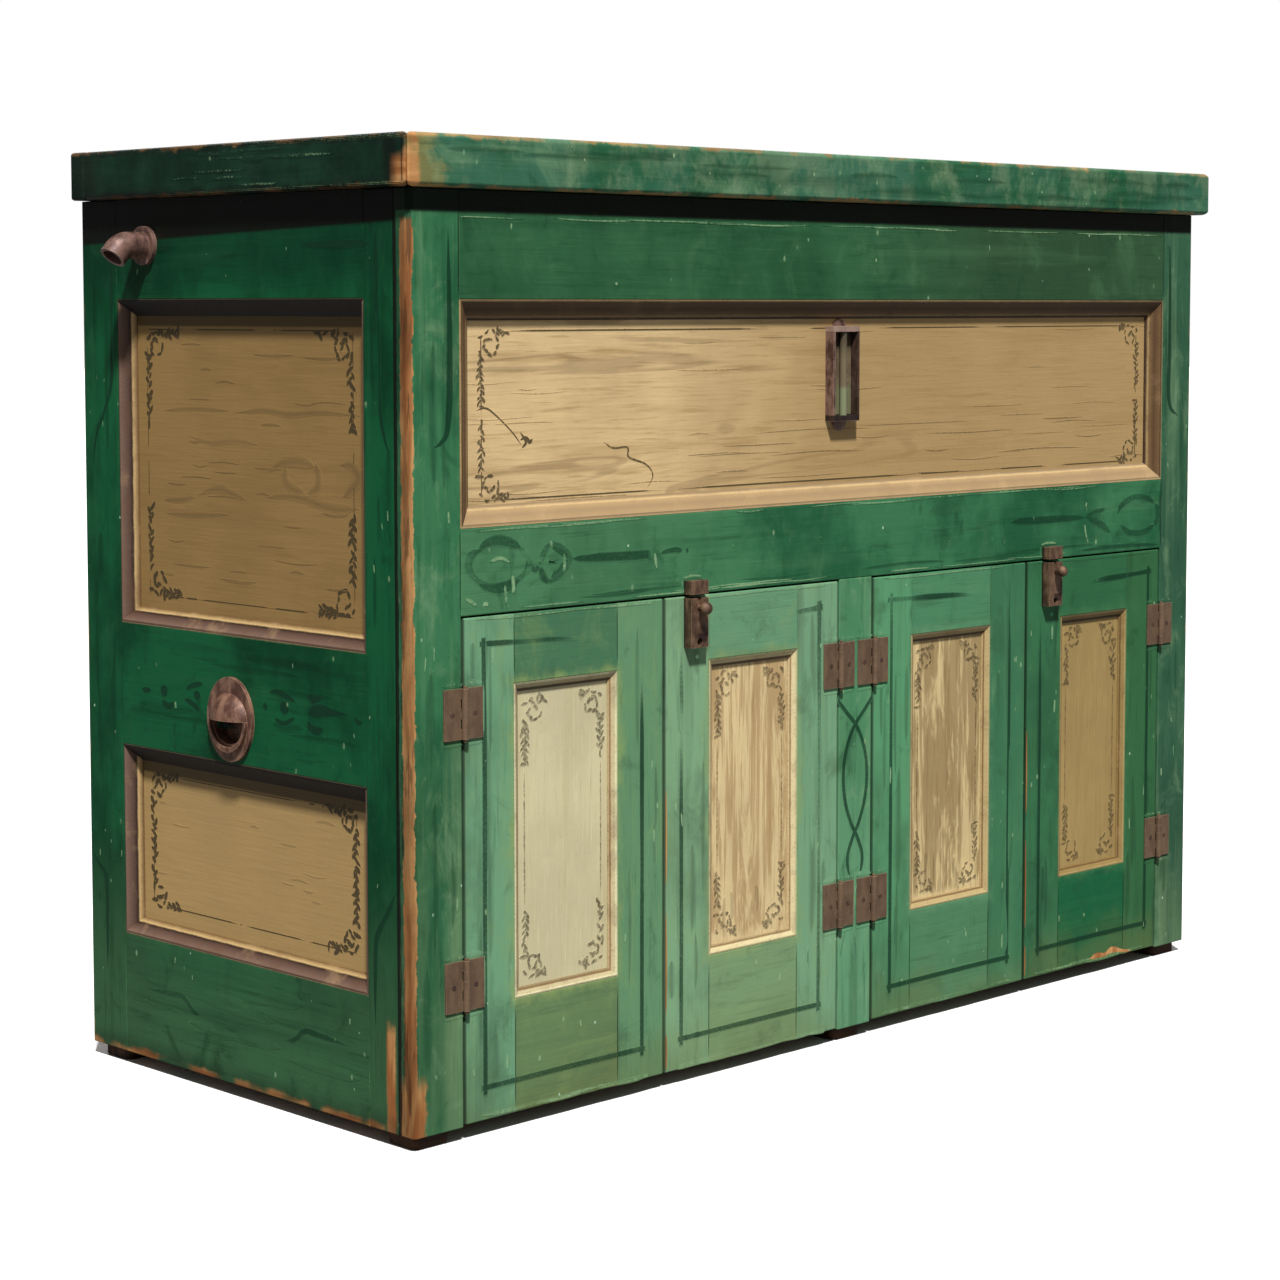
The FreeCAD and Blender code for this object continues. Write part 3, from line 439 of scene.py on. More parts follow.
def unpainted(name, light, dark, grain):
    """Boards left in the wood, dull with age, with figure, knots and dark seams."""
    inks = bpy.context.scene.cabinet_colours
    f = Finish(name)
    colour = bare_wood(f, light, dark, grain)
    age = f.noise(140, (1, 1, 1), 3, 0.6)
    colour = f.over(colour, dark, f.step(age, 0.45, 0.75), 0.45)
    knot = f.step(f.cells(210, GRAIN[grain], shift=4.4), 0.075, 0.05)
    colour = f.over(colour, inks.iron_dark, knot, 0.7)
    soil = f.plus(f.carried("grime"), f.times(f.rounded_edges(3.0), 0.35))
    colour = f.over(colour, inks.grime, soil, 0.85)
    lines = f.noise(1.9, GRAIN[grain], 2, 0.6, shift=7.7)
    return f.close(colour, 0.72, lines, 0.35, Specular_IOR_Level=0.25)


def metal(name, light, dark, rough=0.55, metallic=0.35, pits=1.0, even=False, tone=None):
    """Rusted and rubbed metal: brown clouds, brighter edges and small pits.

    even halves the contrast of the clouds; tone takes the finish and its colour and changes it.
    """
    f = Finish(name)
    cloud = f.noise(11, (1, 1, 0.5), 4, 0.62)
    if even:
        dark = tuple((part + other) / 2 for part, other in zip(light, dark))
    grit = f.noise(1.6, (1, 1, 1), 3, 0.65)
    colour = f.over(dark, light, f.step(cloud, 0.36, 0.64))
    colour = f.over(colour, dark, f.step(grit, 0.52, 0.72), 0.45)
    edge = f.arris(1.6)
    bright = tuple(min(1.0, part * 1.9 + 0.04) for part in light)
    colour = f.over(colour, bright, edge, f.step(grit, 0.35, 0.55), 0.75)
    if tone:
        colour = tone(f, colour)
    soil = f.carried("grime")
    colour = f.over(colour, scaled(dark, 0.2), soil, 0.9)
    height = f.plus(f.times(grit, 0.6 * pits), f.times(cloud, 0.5))
    worn = f.plus(f.times(grit, 0.2), rough - 0.1)
    return f.close(colour, worn, height, 0.5, Metallic=metallic)


class Face:
    """A flat face to paint on: millimetres across and up from a corner, and outwards."""

    def __init__(self, corner, across, up, outward):
        self.corner = np.array(corner, float)
        self.across = np.array(across, float)
        self.up = np.array(up, float)
        self.outward = np.array(outward, float)
        self.flipped = np.dot(np.cross(self.across, self.up), self.outward) < 0

    def points(self, across, up, out):
        """Points in the row frame for arrays of millimetres."""
        parts = np.stack([across, up, np.broadcast_to(out, np.shape(across))], -1)
        turn = np.stack([self.across, self.up, self.outward])
        return self.corner + parts @ turn * MM


def face_of(node, side):
    """The face of a node that looks to a side, with its corner below the carcass corner."""
    low, high = (np.array(end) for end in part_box(node))
    sides = {
        "front": ((LEFT, low[1], BOTTOM), (1, 0, 0), (0, 0, 1), (0, -1, 0)),
        "back": ((LEFT, high[1], BOTTOM), (1, 0, 0), (0, 0, 1), (0, 1, 0)),
        "left": ((low[0], FRONT, BOTTOM), (0, 1, 0), (0, 0, 1), (-1, 0, 0)),
        "right": ((high[0], FRONT, BOTTOM), (0, 1, 0), (0, 0, 1), (1, 0, 0)),
        "top": ((LEFT, FRONT, high[2]), (1, 0, 0), (0, 1, 0), (0, 0, 1)),
    }
    return Face(*sides[side])


def curve(points, steps=6):
    """A smooth line: the cubic that passes each point with the slope of its neighbours."""
    p = np.array(points, float)
    if len(p) < 3:
        share = np.linspace(0, 1, steps + 1)[:, None]
        return p[0] + (p[-1] - p[0]) * share
    p = np.vstack([2 * p[0] - p[1], p, 2 * p[-1] - p[-2]])
    a, b, c, d = p[:-3, None], p[1:-2, None], p[2:-1, None], p[3:, None]
    t = (np.arange(steps) / steps)[None, :, None]
    line = 0.5 * (2 * b + (c - a) * t + (2 * a - 5 * b + 4 * c - d) * t**2)
    line = line + 0.5 * (3 * b - a - 3 * c + d) * t**3
    return np.vstack([line.reshape(-1, p.shape[1]), p[-2]])


def mark(points, width, ink=0.0, thin=0.0, bare=0.0, soil=0.0, shade=0.0, steps=6, taper="both",
         soft=0.4):
    """A painted line or smudge: its path, full widths and the shares it carries.

    The width and the ink may be one number or one for each point. A tapered end narrows to a
    point. Soft is the part of the half width over which the shares fall to nothing.
    """
    size = (len(points),)
    widths, inks = (np.broadcast_to(np.array(part, float), size) for part in (width, ink))
    line = curve(np.column_stack([np.array(points, float), widths, inks]), steps)
    share = np.linspace(0, 1, len(line))
    ease = np.ones(len(line))
    if taper in ("both", "start"):
        ease = ease * np.clip(share / 0.12, 0.12, 1)
    if taper in ("both", "end"):
        ease = ease * np.clip((1 - share) / 0.12, 0.12, 1)
    half = np.maximum(line[:, 2] / 2 * ease, 0.08)
    shares = np.tile((0.0, thin, bare, soil, shade), (len(line), 1))
    shares[:, 0] = np.maximum(line[:, 3], 0.0)
    return line[:, :2], half, shares, soft


def film(name, face, marks, material, slot, body):
    """Lay marks on a face as one thin, closed and soft-edged film.

    Each mark is a ring of six points carried along its path: two at the outer edges with no
    share, two further in with the full share, and two sunk below the face. Smudges lie lowest,
    ink above them and scuffs on top, and neighbours in the list stand off by different heights,
    so that marks that cross don't share a plane and none hides a stronger one.
    """
    lift = bpy.context.scene.cabinet_sizes.film / MM
    places, shares, faces, count = [], [], [], 0
    height = np.array((0.55, 1.0, 1.0, 0.55, -0.8, -0.8)) * lift
    strength = np.array((0.0, 1.0, 1.0, 0.0, 0.0, 0.0))
    for number, (path, half, share, soft) in enumerate(marks):
        across = np.array((-1.0, soft - 1.0, 1.0 - soft, 1.0, 1.0, -1.0))
        peak = share.max(axis=0)
        rank = 2 if max(peak[1:3]) > 0 else 1 if max(peak[0], peak[3]) > 0 else 0
        rise = height * (1 + 0.6 * ((number * 0.618) % 1) + 0.5 * rank)
        run = np.gradient(path, axis=0)
        run = run / np.maximum(np.linalg.norm(run, axis=1, keepdims=True), 1e-9)
        side = np.column_stack([-run[:, 1], run[:, 0]])
        flat = path[:, None] + side[:, None] * (half[:, None] * across)[..., None]
        places.append(face.points(flat[..., 0], flat[..., 1], rise).reshape(-1, 3))
        fade = np.ones(len(path))
        fade[0] = fade[-1] = 0.0
        power = fade[:, None] * strength
        shares.append((power[..., None] * share[:, None]).reshape(-1, 5))
        rows = np.arange(len(path) - 1)[:, None] * 6 + np.arange(6)
        turn = np.arange(len(path) - 1)[:, None] * 6 + (np.arange(6) + 1) % 6
        quads = np.stack([rows, turn, turn + 6, rows + 6], -1).reshape(-1, 4) + count
        last = count + (len(path) - 1) * 6
        ends = [tuple(count + np.arange(6)[::-1]), tuple(last + np.arange(6))]
        groups = [tuple(quad) for quad in quads.tolist()] + [tuple(map(int, end)) for end in ends]
        faces += groups if face.flipped else [group[::-1] for group in groups]
        count += len(path) * 6
    mesh = bpy.data.meshes.new(name)
    mesh.from_pydata(np.vstack(places), [], faces)
    shares = np.vstack(shares)
    layer = mesh.attributes.new("marks", "FLOAT_COLOR", "POINT")
    rgba = np.column_stack([shares[:, :3], np.ones(count)])
    layer.data.foreach_set("color", rgba.astype(np.float32).ravel())
    for title, values in (("grime", shares[:, 3]), ("shade", shares[:, 4]),
                          ("film", np.ones(count))):
        layer = mesh.attributes.new(title, "FLOAT", "POINT")
        layer.data.foreach_set("value", values.astype(np.float32))
    return placed(name, mesh, material, slot, body)


def placed(name, mesh, material, slot, body):
    """Put a finished mesh into the scene on its body, with its material; the slot is not used."""
    mesh.materials.clear()
    mesh.materials.append(material)
    piece = bpy.data.objects.new(name, mesh)
    bpy.context.scene.collection.objects.link(piece)
    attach(piece, body)
    return piece


def softened(node, material, slot, width=None):
    """Stand a copy of a board in for it, its triangles merged and its arrises rounded."""
    shape = bmesh.new()
    shape.from_mesh(NODES[node].data)
    bmesh.ops.remove_doubles(shape, verts=shape.verts, dist=1e-6)
    bmesh.ops.dissolve_limit(
        shape, angle_limit=math.radians(1), verts=shape.verts, edges=shape.edges
    )
    mesh = bpy.data.meshes.new(f"{node}_board")
    shape.to_mesh(mesh)
    shape.free()
    piece = placed(f"{node}_board", mesh, material, slot, BODY_OF[node])
    round_over = piece.modifiers.new("Arris", "BEVEL")
    round_over.width = width or bpy.context.scene.cabinet_sizes.arris
    round_over.segments = 2
    round_over.limit_method = "ANGLE"
    round_over.angle_limit = math.radians(30)
    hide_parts(node)
    return piece


def dress(material, *nodes):
    """Give CAD nodes a finish as they are."""
    for node in nodes:
        for place in NODES[node].material_slots:
            place.material = material


def slotted_head(centre, across, outward, radius, height=0.55, slot_width=0.9, slot_depth=0.8):
    """A domed screw head with a slot, as rows of points carried across the head.

    A row at share b is a chord of half length sqrt(1 - b*b), bulging by the dome's height and
    dropped by the slot's depth where b is inside the slot, then closed along the board.
    """
    half_slot = slot_width / 2 / radius
    angles = np.linspace(-np.pi / 2 * 0.985, np.pi / 2 * 0.985, 12)
    rows = np.sort(np.concatenate([np.sin(angles), [-half_slot, half_slot]]))
    rows = rows[np.abs(rows) > half_slot - 1e-9]
    rows = np.sort(np.concatenate([rows, [-half_slot * 0.98, half_slot * 0.98]]))
    sunk = np.abs(rows) < half_slot * 0.99
    chord = np.sqrt(1 - rows**2)[:, None]
    spread = np.linspace(-1, 1, 9)[None, :]
    a, b = chord * spread, np.broadcast_to(rows[:, None], (len(rows), 9))
    dome = height * np.sqrt(np.maximum(1.02 - 0.75 * (a**2 + b**2), 0.05))
    dome = dome - sunk[:, None] * slot_depth
    a = np.column_stack([a, a[:, -1], a[:, 0]]) * radius
    b = np.column_stack([b, b[:, -1], b[:, 0]]) * radius
    top = np.column_stack([dome, np.full((len(rows), 2), -0.4)])
    along = np.array(across, float)
    out = np.array(outward, float)
    beside = np.cross(out, along)
    place = np.array(centre) + MM * (
        a[..., None] * along + b[..., None] * beside + top[..., None] * out
    )
    ring = np.arange(11)
    base = np.arange(len(rows) - 1)[:, None] * 11
    quads = np.stack(
        [base + ring, base + (ring + 1) % 11, base + 11 + (ring + 1) % 11, base + 11 + ring], -1
    ).reshape(-1, 4)
    ends = [list(ring[::-1]), list((len(rows) - 1) * 11 + ring)]
    return place.reshape(-1, 3), quads.tolist() + [[int(i) for i in end] for end in ends]


def screws(name, places, material, slot, body):
    """Slotted heads as one piece; each place is a centre, a slot direction and a way out."""
    radius = bpy.context.scene.cabinet_sizes.screw / MM
    points, faces, count = [], [], 0
    for centre, across, outward in places:
        head, quads = slotted_head(centre, across, outward, radius)
        points.append(head)
        faces += [[i + count for i in quad] for quad in quads]
        count += len(head)
    mesh = bpy.data.meshes.new(name)
    mesh.from_pydata(np.vstack(points), [], faces)
    return placed(name, mesh, material, slot, body)


# ---- ornament drawn in cabinet millimetres -------------------------------------------------


def mirrored(points, middle):
    """The same points on the other side of an upright line."""
    return [(2 * middle - across, up) for across, up in points]


def dab_rows(corner, across, up, size, draw, width=3.0, ink=0.85, reach=(1.25, 0.85), keep=0.88):
    """A stencilled corner scroll of comma strokes: a spiral and a leafy row along each edge.

    The spiral's radius falls from 0.26 to 0.07 of the size while it turns 1.3 times about a
    point at 0.34 of the size from both edges. Along an edge the strokes lean to and fro; reach
    is how far they go beyond half the size, upright and level.
    """
    t = np.linspace(0, 1, int(size * 0.24))
    turn = np.radians(215 + 470 * t)
    spiral = np.column_stack([np.cos(turn), np.sin(turn)]) * (0.26 - 0.19 * t)[:, None] + 0.34
    s = np.linspace(0, 1, int(size * 0.3))
    zigzag = 0.1 + 0.06 * (np.arange(len(s)) % 2)
    upright = np.column_stack([zigzag, 0.5 + reach[0] * s])
    fewer = max(3, int(len(s) * reach[1] / reach[0]))
    level = np.column_stack([0.5 + reach[1] * s, zigzag])[:fewer]
    made = []
    for row, lean in ((spiral, 0.25), (upright, 0.8), (level, 0.8)):
        points = np.array(corner) + row * size * np.array((across, up))
        run = np.gradient(points, axis=0)
        run = run / np.linalg.norm(run, axis=1, keepdims=True)
        beside = np.column_stack([-run[:, 1], run[:, 0]])
        sway = lean * np.where(np.arange(len(points)) % 2, 1.0, -1.0)
        sway = sway + draw.uniform(-0.3, 0.3, len(points))
        length = draw.uniform(1.3, 2.3, (len(points), 1)) * width / 2
        way = (run + beside * sway[:, None]) * length
        bulge = beside * draw.uniform(-0.5, 0.5, (len(points), 1)) * length
        chosen = draw.random(len(points)) < keep
        for start, middle, end in zip((points - way)[chosen], (points + bulge)[chosen],
                                      (points + way)[chosen]):
            wide = width * draw.uniform(0.7, 1.2)
            made.append(mark([start, middle, end], (wide * 0.5, wide, wide * 0.4), ink=ink,
                             steps=3, soft=0.4))
    return made


def border(x0, x1, z0, z1, width, draw, ink=0.8, gap=0.1):
    """A thin printed rectangle, broken here and there."""
    made = []
    corners = [(x0, z0), (x1, z0), (x1, z1), (x0, z1), (x0, z0)]
    for start, end in zip(corners, corners[1:]):
        start, end = np.array(start), np.array(end)
        cuts = np.sort(draw.uniform(0.05, 0.95, 4))
        stops = np.concatenate([[0], cuts, [1]])
        for a, b in zip(stops, stops[1:]):
            b = max(b - gap * draw.uniform(0, 0.6), a + 0.01)
            ends = [start + (end - start) * a, start + (end - start) * b]
            made.append(mark(ends, width * draw.uniform(0.8, 1.2), ink=ink, steps=8))
    return made


def drips(x0, x1, z0, z1, count, draw, thin=1.0, bare=0.0, size=(5, 22), width=(1.6, 4.5)):
    """Short upright scuffs scattered over an area."""
    made = []
    for _ in range(count):
        x, z = draw.uniform(x0, x1), draw.uniform(z0 + 3, z1)
        length, lean = draw.uniform(*size), draw.uniform(-1.5, 1.5)
        path = np.array([(x, z), (x + lean * 0.4, z - length * 0.5), (x + lean, z - length)])
        path = np.clip(path, (x0, z0), (x1, z1))
        wide = draw.uniform(*width)
        made.append(mark(path, (wide * 0.7, wide, wide * 0.5), thin=thin, bare=bare, steps=4))
    return made


def smears(x0, x1, z0, z1, count, draw, length=(40, 160), width=(6, 18), level=False, **shares):
    """Long faint streaks, upright or level."""
    made = []
    for _ in range(count):
        x, z = draw.uniform(x0, x1), draw.uniform(z0, z1)
        run, wide = draw.uniform(*length), draw.uniform(*width)
        step = np.array((run / 2, 0.0) if level else (0.0, run / 2))
        bow = draw.uniform(-2, 2, 2)[::-1 if level else 1] * ((0, 1) if level else (1, 0))
        path = np.array([np.array((x, z)) - step, np.array((x, z)) + bow, np.array((x, z)) + step])
        path = np.clip(path, (x0, z0), (x1, z1))
        made.append(mark(path, (wide * 0.6, wide, wide * 0.5), steps=6, soft=0.85, **shares))
    return made


LEFT_RING = [
    mark([(84, 559), (96, 564), (110, 565.5), (126, 562), (140, 556)], (6, 10.5, 13.5, 12, 7.5),
         ink=0.64),
    mark([(140, 554), (149, 546), (151, 538), (146, 530)], (6, 7.5, 7.5, 4.5), ink=0.32),
    mark([(138, 527), (124, 521), (108, 519), (94, 521), (84, 525)], (7.5, 15, 13.5, 9, 4.5),
         ink=0.68),
    mark([(80, 530), (71, 541), (72, 551), (82, 559)], (7.5, 10.5, 9, 6), ink=0.40),
    mark([(98, 545), (112, 548), (126, 543)], (3, 5, 3), thin=0.9),
    mark([(178, 560), (170, 551), (164, 540)], (3, 9, 6), ink=0.56),
    mark([(164, 537), (168, 527), (175, 519)], (6, 10.5, 3), ink=0.68),
    mark([(180, 556), (190, 550), (207, 543)], (4.5, 9, 7.5), ink=0.64),
    mark([(178, 524), (190, 533), (206, 541)], (4.5, 9, 7.5), ink=0.64),
    mark([(176, 549), (183, 541), (178, 533)], (12, 24, 12), ink=0.24),
    mark([(152, 537), (158, 534), (164, 537)], (6, 7.5, 6), ink=0.64),
    mark([(205, 542), (228, 541), (244, 541), (280, 540), (318, 539.5)], (6, 9, 11.25, 12, 11.25),
         ink=0.76,
         taper="start"),
    mark([(330, 539.5), (340, 541.5), (352, 542), (362, 540.5)], (3, 6, 7.5, 6), ink=0.72),
    mark([(368, 543), (369, 538)], 4.5, ink=0.72),
    mark([(322, 541), (323, 533), (325, 524)], (3, 5, 2), thin=1.0),
    mark([(196, 548), (197, 538), (196, 529)], (3, 5, 5), thin=0.8),
    mark([(118, 522), (119, 512), (120, 503)], (3, 5, 4), thin=0.8),
    mark([(128, 531), (129, 522), (129, 512)], (4, 6, 4), thin=1.0),
    mark([(66, 512), (74, 509), (82, 504)], (2, 5, 4), thin=0.8),
    mark([(90, 506), (97, 504)], 5, thin=1.1),
]
RIGHT_RING = [
    mark([(1104, 540), (1113, 551), (1128, 557.5), (1148, 559.5), (1168, 556.5), (1181, 549)],
         (5, 9, 9.5, 9.5, 8, 6), ink=0.60),
    mark([(1181, 550), (1188, 541), (1187, 531), (1180, 523)], (6, 12, 12, 8), ink=0.6),
    mark([(1181, 524), (1164, 517.5), (1144, 515.5), (1126, 518.5), (1110, 528)],
         (7, 9, 9.5, 9.5, 5), ink=0.62),
    mark([(1192, 572), (1191.5, 556), (1190.5, 540), (1191.5, 526), (1192, 512)],
         (4, 4.5, 6, 5, 4), ink=0.64),
    mark([(1041, 540), (1052, 542), (1064, 545), (1082, 548.5)], (4.5, 10, 10, 4), ink=0.62),
    mark([(1046, 538), (1062, 534), (1076, 528), (1092, 519)], (4.5, 12, 12, 4.5), ink=0.64),
    mark([(1056, 542), (1068, 539), (1080, 537)], (8, 13, 7), ink=0.4),
    mark([(1102, 532), (1096, 538), (1100, 546)], (4.5, 9, 4.5), ink=0.28),
    mark([(898, 541.5), (930, 541.5), (966, 541), (1006, 540.5), (1042, 540)],
         (7.5, 10.5, 11.25, 9.75, 7.5), ink=0.74),
    mark([(1040, 533), (1043, 520), (1048, 508)], (3, 4, 3), thin=1.0),
    mark([(1044, 558), (1042, 552)], 4, thin=1.0),
]
TWINED = [(604, 372), (604, 362), (614, 351), (633, 332), (645, 309), (650, 281), (647, 252),
          (637, 226), (628, 212), (619, 192), (620, 175), (627, 162)]
END_SCROLLS = [
    mark([(436, 391), (428, 391), (419, 392)], (3, 7.5, 3), ink=1.08),
    mark([(402, 397), (396, 393), (391, 390)], (7.5, 15, 7.5), ink=1.08),
    mark([(400, 384), (395, 379), (386, 378), (379, 383)], (4.5, 9, 9, 4.5), ink=1.02),
    mark([(328, 407), (343, 404), (358, 399)], (4.5, 7.5, 4.5), ink=0.84),
    mark([(361, 388), (349, 385), (334, 379)], (4.5, 7.5, 4.5), ink=0.90),
    mark([(345, 396), (339, 394), (334, 397)], (4.5, 12, 7.5), ink=1.02),
    mark([(219, 408), (205, 410), (190, 407), (175, 402)], (3, 7.5, 7.5, 3), ink=0.90),
    mark([(200, 399), (194, 395), (187, 396)], (9, 16.5, 7.5), ink=1.08),
    mark([(210, 383), (195, 379), (177, 387)], (4.5, 7.5, 4.5), ink=0.90),
    mark([(228, 396), (222, 391)], 7.5, ink=0.84),
    mark([(160, 411), (147, 408), (134, 411)], (4.5, 10.5, 4.5), ink=0.96),
    mark([(156, 394), (147, 396), (136, 398), (118, 398), (96, 398)], (6, 13.5, 15, 7.5, 3),
         ink=1.10),
    mark([(156, 386), (153, 380), (143, 377), (133, 381)], (4.5, 9, 10.5, 4.5), ink=1.02),
    mark([(85, 397), (80, 392), (73, 393)], (3, 6, 3), ink=0.84),
    mark([(376, 376), (377, 384)], 4, thin=1.0),
]


END_STAINS = [
    ([(232, 626), (212, 636), (184, 638), (160, 634)], (4, 11, 13, 8), 0.26),
    ([(160, 638), (155, 624), (158, 612), (172, 607)], (8, 11, 12, 8), 0.28),
    ([(176, 607), (196, 611), (208, 620), (206, 634)], (8, 11, 12, 8), 0.24),
    ([(121, 637), (104, 637), (93, 625), (106, 613), (117, 606)], (4, 11, 14, 12, 5), 0.3),
    ([(240, 600), (206, 603), (174, 601), (132, 594), (92, 596)], (3, 7, 9, 12, 6), 0.3),
    ([(412, 590), (384, 591), (358, 595)], (3, 8, 4), 0.34),
    ([(352, 598), (318, 606), (296, 602), (270, 596)], (3, 10, 8, 3), 0.24),
    ([(408, 576), (360, 577), (300, 580)], (3, 6, 3), 0.26),
    ([(407, 683), (360, 686), (299, 685)], (3, 5, 3), 0.28),
    ([(290, 683), (240, 687), (200, 684), (150, 687), (90, 685)], (3, 6, 8, 6, 3), 0.32),
    ([(368, 658), (330, 652), (290, 655), (250, 652)], (3, 6, 7, 4), 0.2),
]


def ring(middle, radii, width, ink):
    """A painted oval, thicker below than above."""
    turn = np.radians(np.arange(-95, 271, 15))
    points = np.array(middle) + np.column_stack([np.cos(turn), np.sin(turn)]) * radii
    return mark(points, width * (1 - 0.3 * np.sin(turn)), ink=ink, taper="none", steps=3)


def stile_stripe(x, turn):
    """A tapering stripe down a front stile that curls to its edge at the foot."""
    path = [(x, 868), (x + 1, 800), (x + 1.5, 730), (x, 690), (x - 5 * turn, 666),
            (x - 22 * turn, 655)]
    return mark(path, (4, 7, 9.5, 10, 7, 3), ink=0.9)


# ---- operators -----------------------------------------------------------------------------


class CABINET_OT_front(bpy.types.Operator):
    """Finish the front frame: stiles, rails, their joints and the painted ornament"""

    bl_idname = "cabinet.front"
    bl_label = "Front frame"

    def execute(self, context):
        inks = context.scene.cabinet_colours
        draw = np.random.default_rng(11)
        bright = srgb(88, 146, 104)
        dull = srgb(48, 80, 62)

        def upright_tone(f, colour):
            low = f.times(f.step(f.z, 420, 60), f.step(f.noise(60, GRAIN["z"], 2), 0.35, 0.6))
            centre = f.band(f.x, 598, 662, 4)
            colour = f.over(colour, bright, centre, 0.6)
            right = f.step(f.x, 1180, 1200)
            colour = f.over(colour, dull, right, 0.72)
            colour = f.over(colour, srgb(114, 140, 100), low, 0.66)
            return f.over(colour, srgb(116, 166, 126), centre, f.step(f.z, 330, 150), 0.5)

        def within(f):
            return f.step(f.y, 21.3, 21.7)

        def corner_bare(f):
            wave = f.wave(26.0, 15, (1, 1, 0.5), 5, 0.72)
            inner = f.step(f.plus(f.x, f.times(wave, 0.45)), 4.6, 3.8)
            end = f.times(f.step(f.plus(f.y, f.times(wave, 0.5)), 14.0, 13.0),
                          f.step(f.z, 874, 868))
            outer = f.step(f.plus(f.x, wave), 1250, 1252)
            patch = f.times(f.step(f.z, 64, 40), f.step(f.plus(f.x, wave), 17, 12), 0.9)
            return f.most(f.times(inner, end), f.times(outer, 0.5), patch, within(f))

        def corner_dirt_and_shadow(f):
            wave = f.wave(8.0, 20, (1, 1, 0.6), 3, 0.6, shift=3.3)
            # A dark seam line on the stile's side face, partly the seam itself and partly painted
            # shadow along it.
            joint = f.times(f.step(f.plus(f.y, f.times(wave, 0.6)), 17.2, 19.0),
                            f.step(f.x, 2.5, 1.0), 0.96)
            edge = f.step(f.x, 6, 2)
            splits = f.times(f.step(f.noise(8, (1, 1, 0.08), 4, 0.66), 0.48, 0.6), edge, 0.72)
            brown = f.times(edge, f.step(f.noise(36, (1, 1, 0.4), 4, 0.6), 0.3, 0.7, 0.24, 0.6))
            # Splits and brown patches are grime on the wood; the band above the lid-shadow heights
            # is painted shadow of the lid's overhang.
            return f.most(joint, splits, brown, f.times(f.step(f.z, *UNDER_LID), 0.97))

        upright = painted("front_paint_upright", inks.front_light, inks.front_dark, "z",
                          upright_tone, corner_bare, corner_dirt_and_shadow)

        def level_lid_shadow(f):
            # Painted shadow of the lid's overhang: the rail goes near black above these heights.
            return f.times(f.step(f.z, *UNDER_LID), 0.97)

        def level_tone(f, colour):
            wave = f.times(f.noise(120), 200)
            colour = f.over(colour, srgb(40, 78, 48), f.step(f.z, 700, 790), 0.6)
            right = f.times(f.step(f.z, 700, 790), f.step(f.plus(f.x, wave), 650, 950))
            left = f.times(f.step(f.z, 700, 600), f.step(f.plus(f.x, wave), 620, 300))
            colour = f.over(colour, srgb(92, 138, 98), left, 0.4)
            return f.over(colour, srgb(50, 72, 48), right, 0.6)

        level = painted("front_paint_level", inks.front_light, inks.front_dark, "x",
                        level_tone, within, level_lid_shadow, 0.7, srgb(92, 136, 96))
        for node in ("front_stile_left", "front_stile_right", "front_stile_centre"):
            softened(node, upright, "green_paint")
        for node in ("front_rail_top", "front_rail_middle"):
            softened(node, level, "green_paint")
        face = face_of("front_stile_left", "front")
        twist = [mark(TWINED, 6.4, ink=0.85, steps=8, soft=0.4),
                 mark(mirrored(TWINED, 630.6), 6.4, ink=0.85, steps=8, soft=0.4),
                 mark([(616, 110), (611, 96), (607, 80)], 3.5, ink=0.4),
                 mark([(629, 108), (632, 92), (634, 74)], 3.5, ink=0.4),
                 mark([(640, 160), (631, 150), (630, 120)], 3.0, thin=0.9)]
        uprights = [stile_stripe(48, 1), stile_stripe(1206, -1), *twist]
        uprights += drips(12, 56, 60, 860, 5, draw) + drips(1200, 1244, 60, 860, 4, draw)
        uprights += drips(610, 652, 30, 440, 4, draw, size=(3, 8))
        uprights += smears(8, 56, 60, 860, 7, draw, shade=0.6)
        uprights += smears(1198, 1246, 60, 860, 7, draw, shade=0.6)
        uprights += [mark([(60.6, 896), (60.8, 850), (60.6, 798)], 1.8, soil=0.8, taper="none"),
                     mark([(61, 578), (61.2, 540), (61, 497)], 1.8, soil=0.7, taper="none"),
                     mark([(1194, 896), (1193.6, 850), (1194, 798)], 1.8, soil=0.7, taper="none"),
                     mark([(1194, 578), (1193.6, 540), (1194, 497)], 1.8, soil=0.8, taper="none")]
        for pin, way in HINGE_PINS:
            uprights += around_leaf(pin, -way)
        uprights += [mark([(630.4, 372), (630.8, 400), (630.2, 434)], (2, 3, 2), thin=0.7,
                          soft=0.8),
                     mark([(630.6, 92), (630.2, 140), (630.8, 176)], (2, 3.4, 2), thin=0.7,
                          soft=0.8)]
        film("front_stile_ornament", face, uprights, upright, "green_paint", "cabinet")
        levels = [ring((111, 542), (37, 21), 6.5, 0.5)]
        levels.append(mark([(163, 540), (180, 559), (206, 542), (178, 521), (163, 540)], 6,
                           ink=0.5, taper="none", steps=3))
        levels += [*LEFT_RING, *RIGHT_RING]
        levels += drips(80, 1180, 500, 575, 9, draw, 0.7, size=(3, 9))
        levels += drips(80, 1180, 810, 870, 6, draw, size=(3, 12))
        levels += smears(100, 1150, 501, 507, 12, draw, level=True, shade=0.8, width=(3, 6))
        levels += smears(120, 1010, 498, 501, 14, draw, level=True, thin=1.1, width=(2, 4))
        levels.append(mark([(1030, 501), (1102, 502), (1190, 499.5)], (3, 6, 5), ink=0.7,
                           steps=12))
        for x in CATCHES.values():
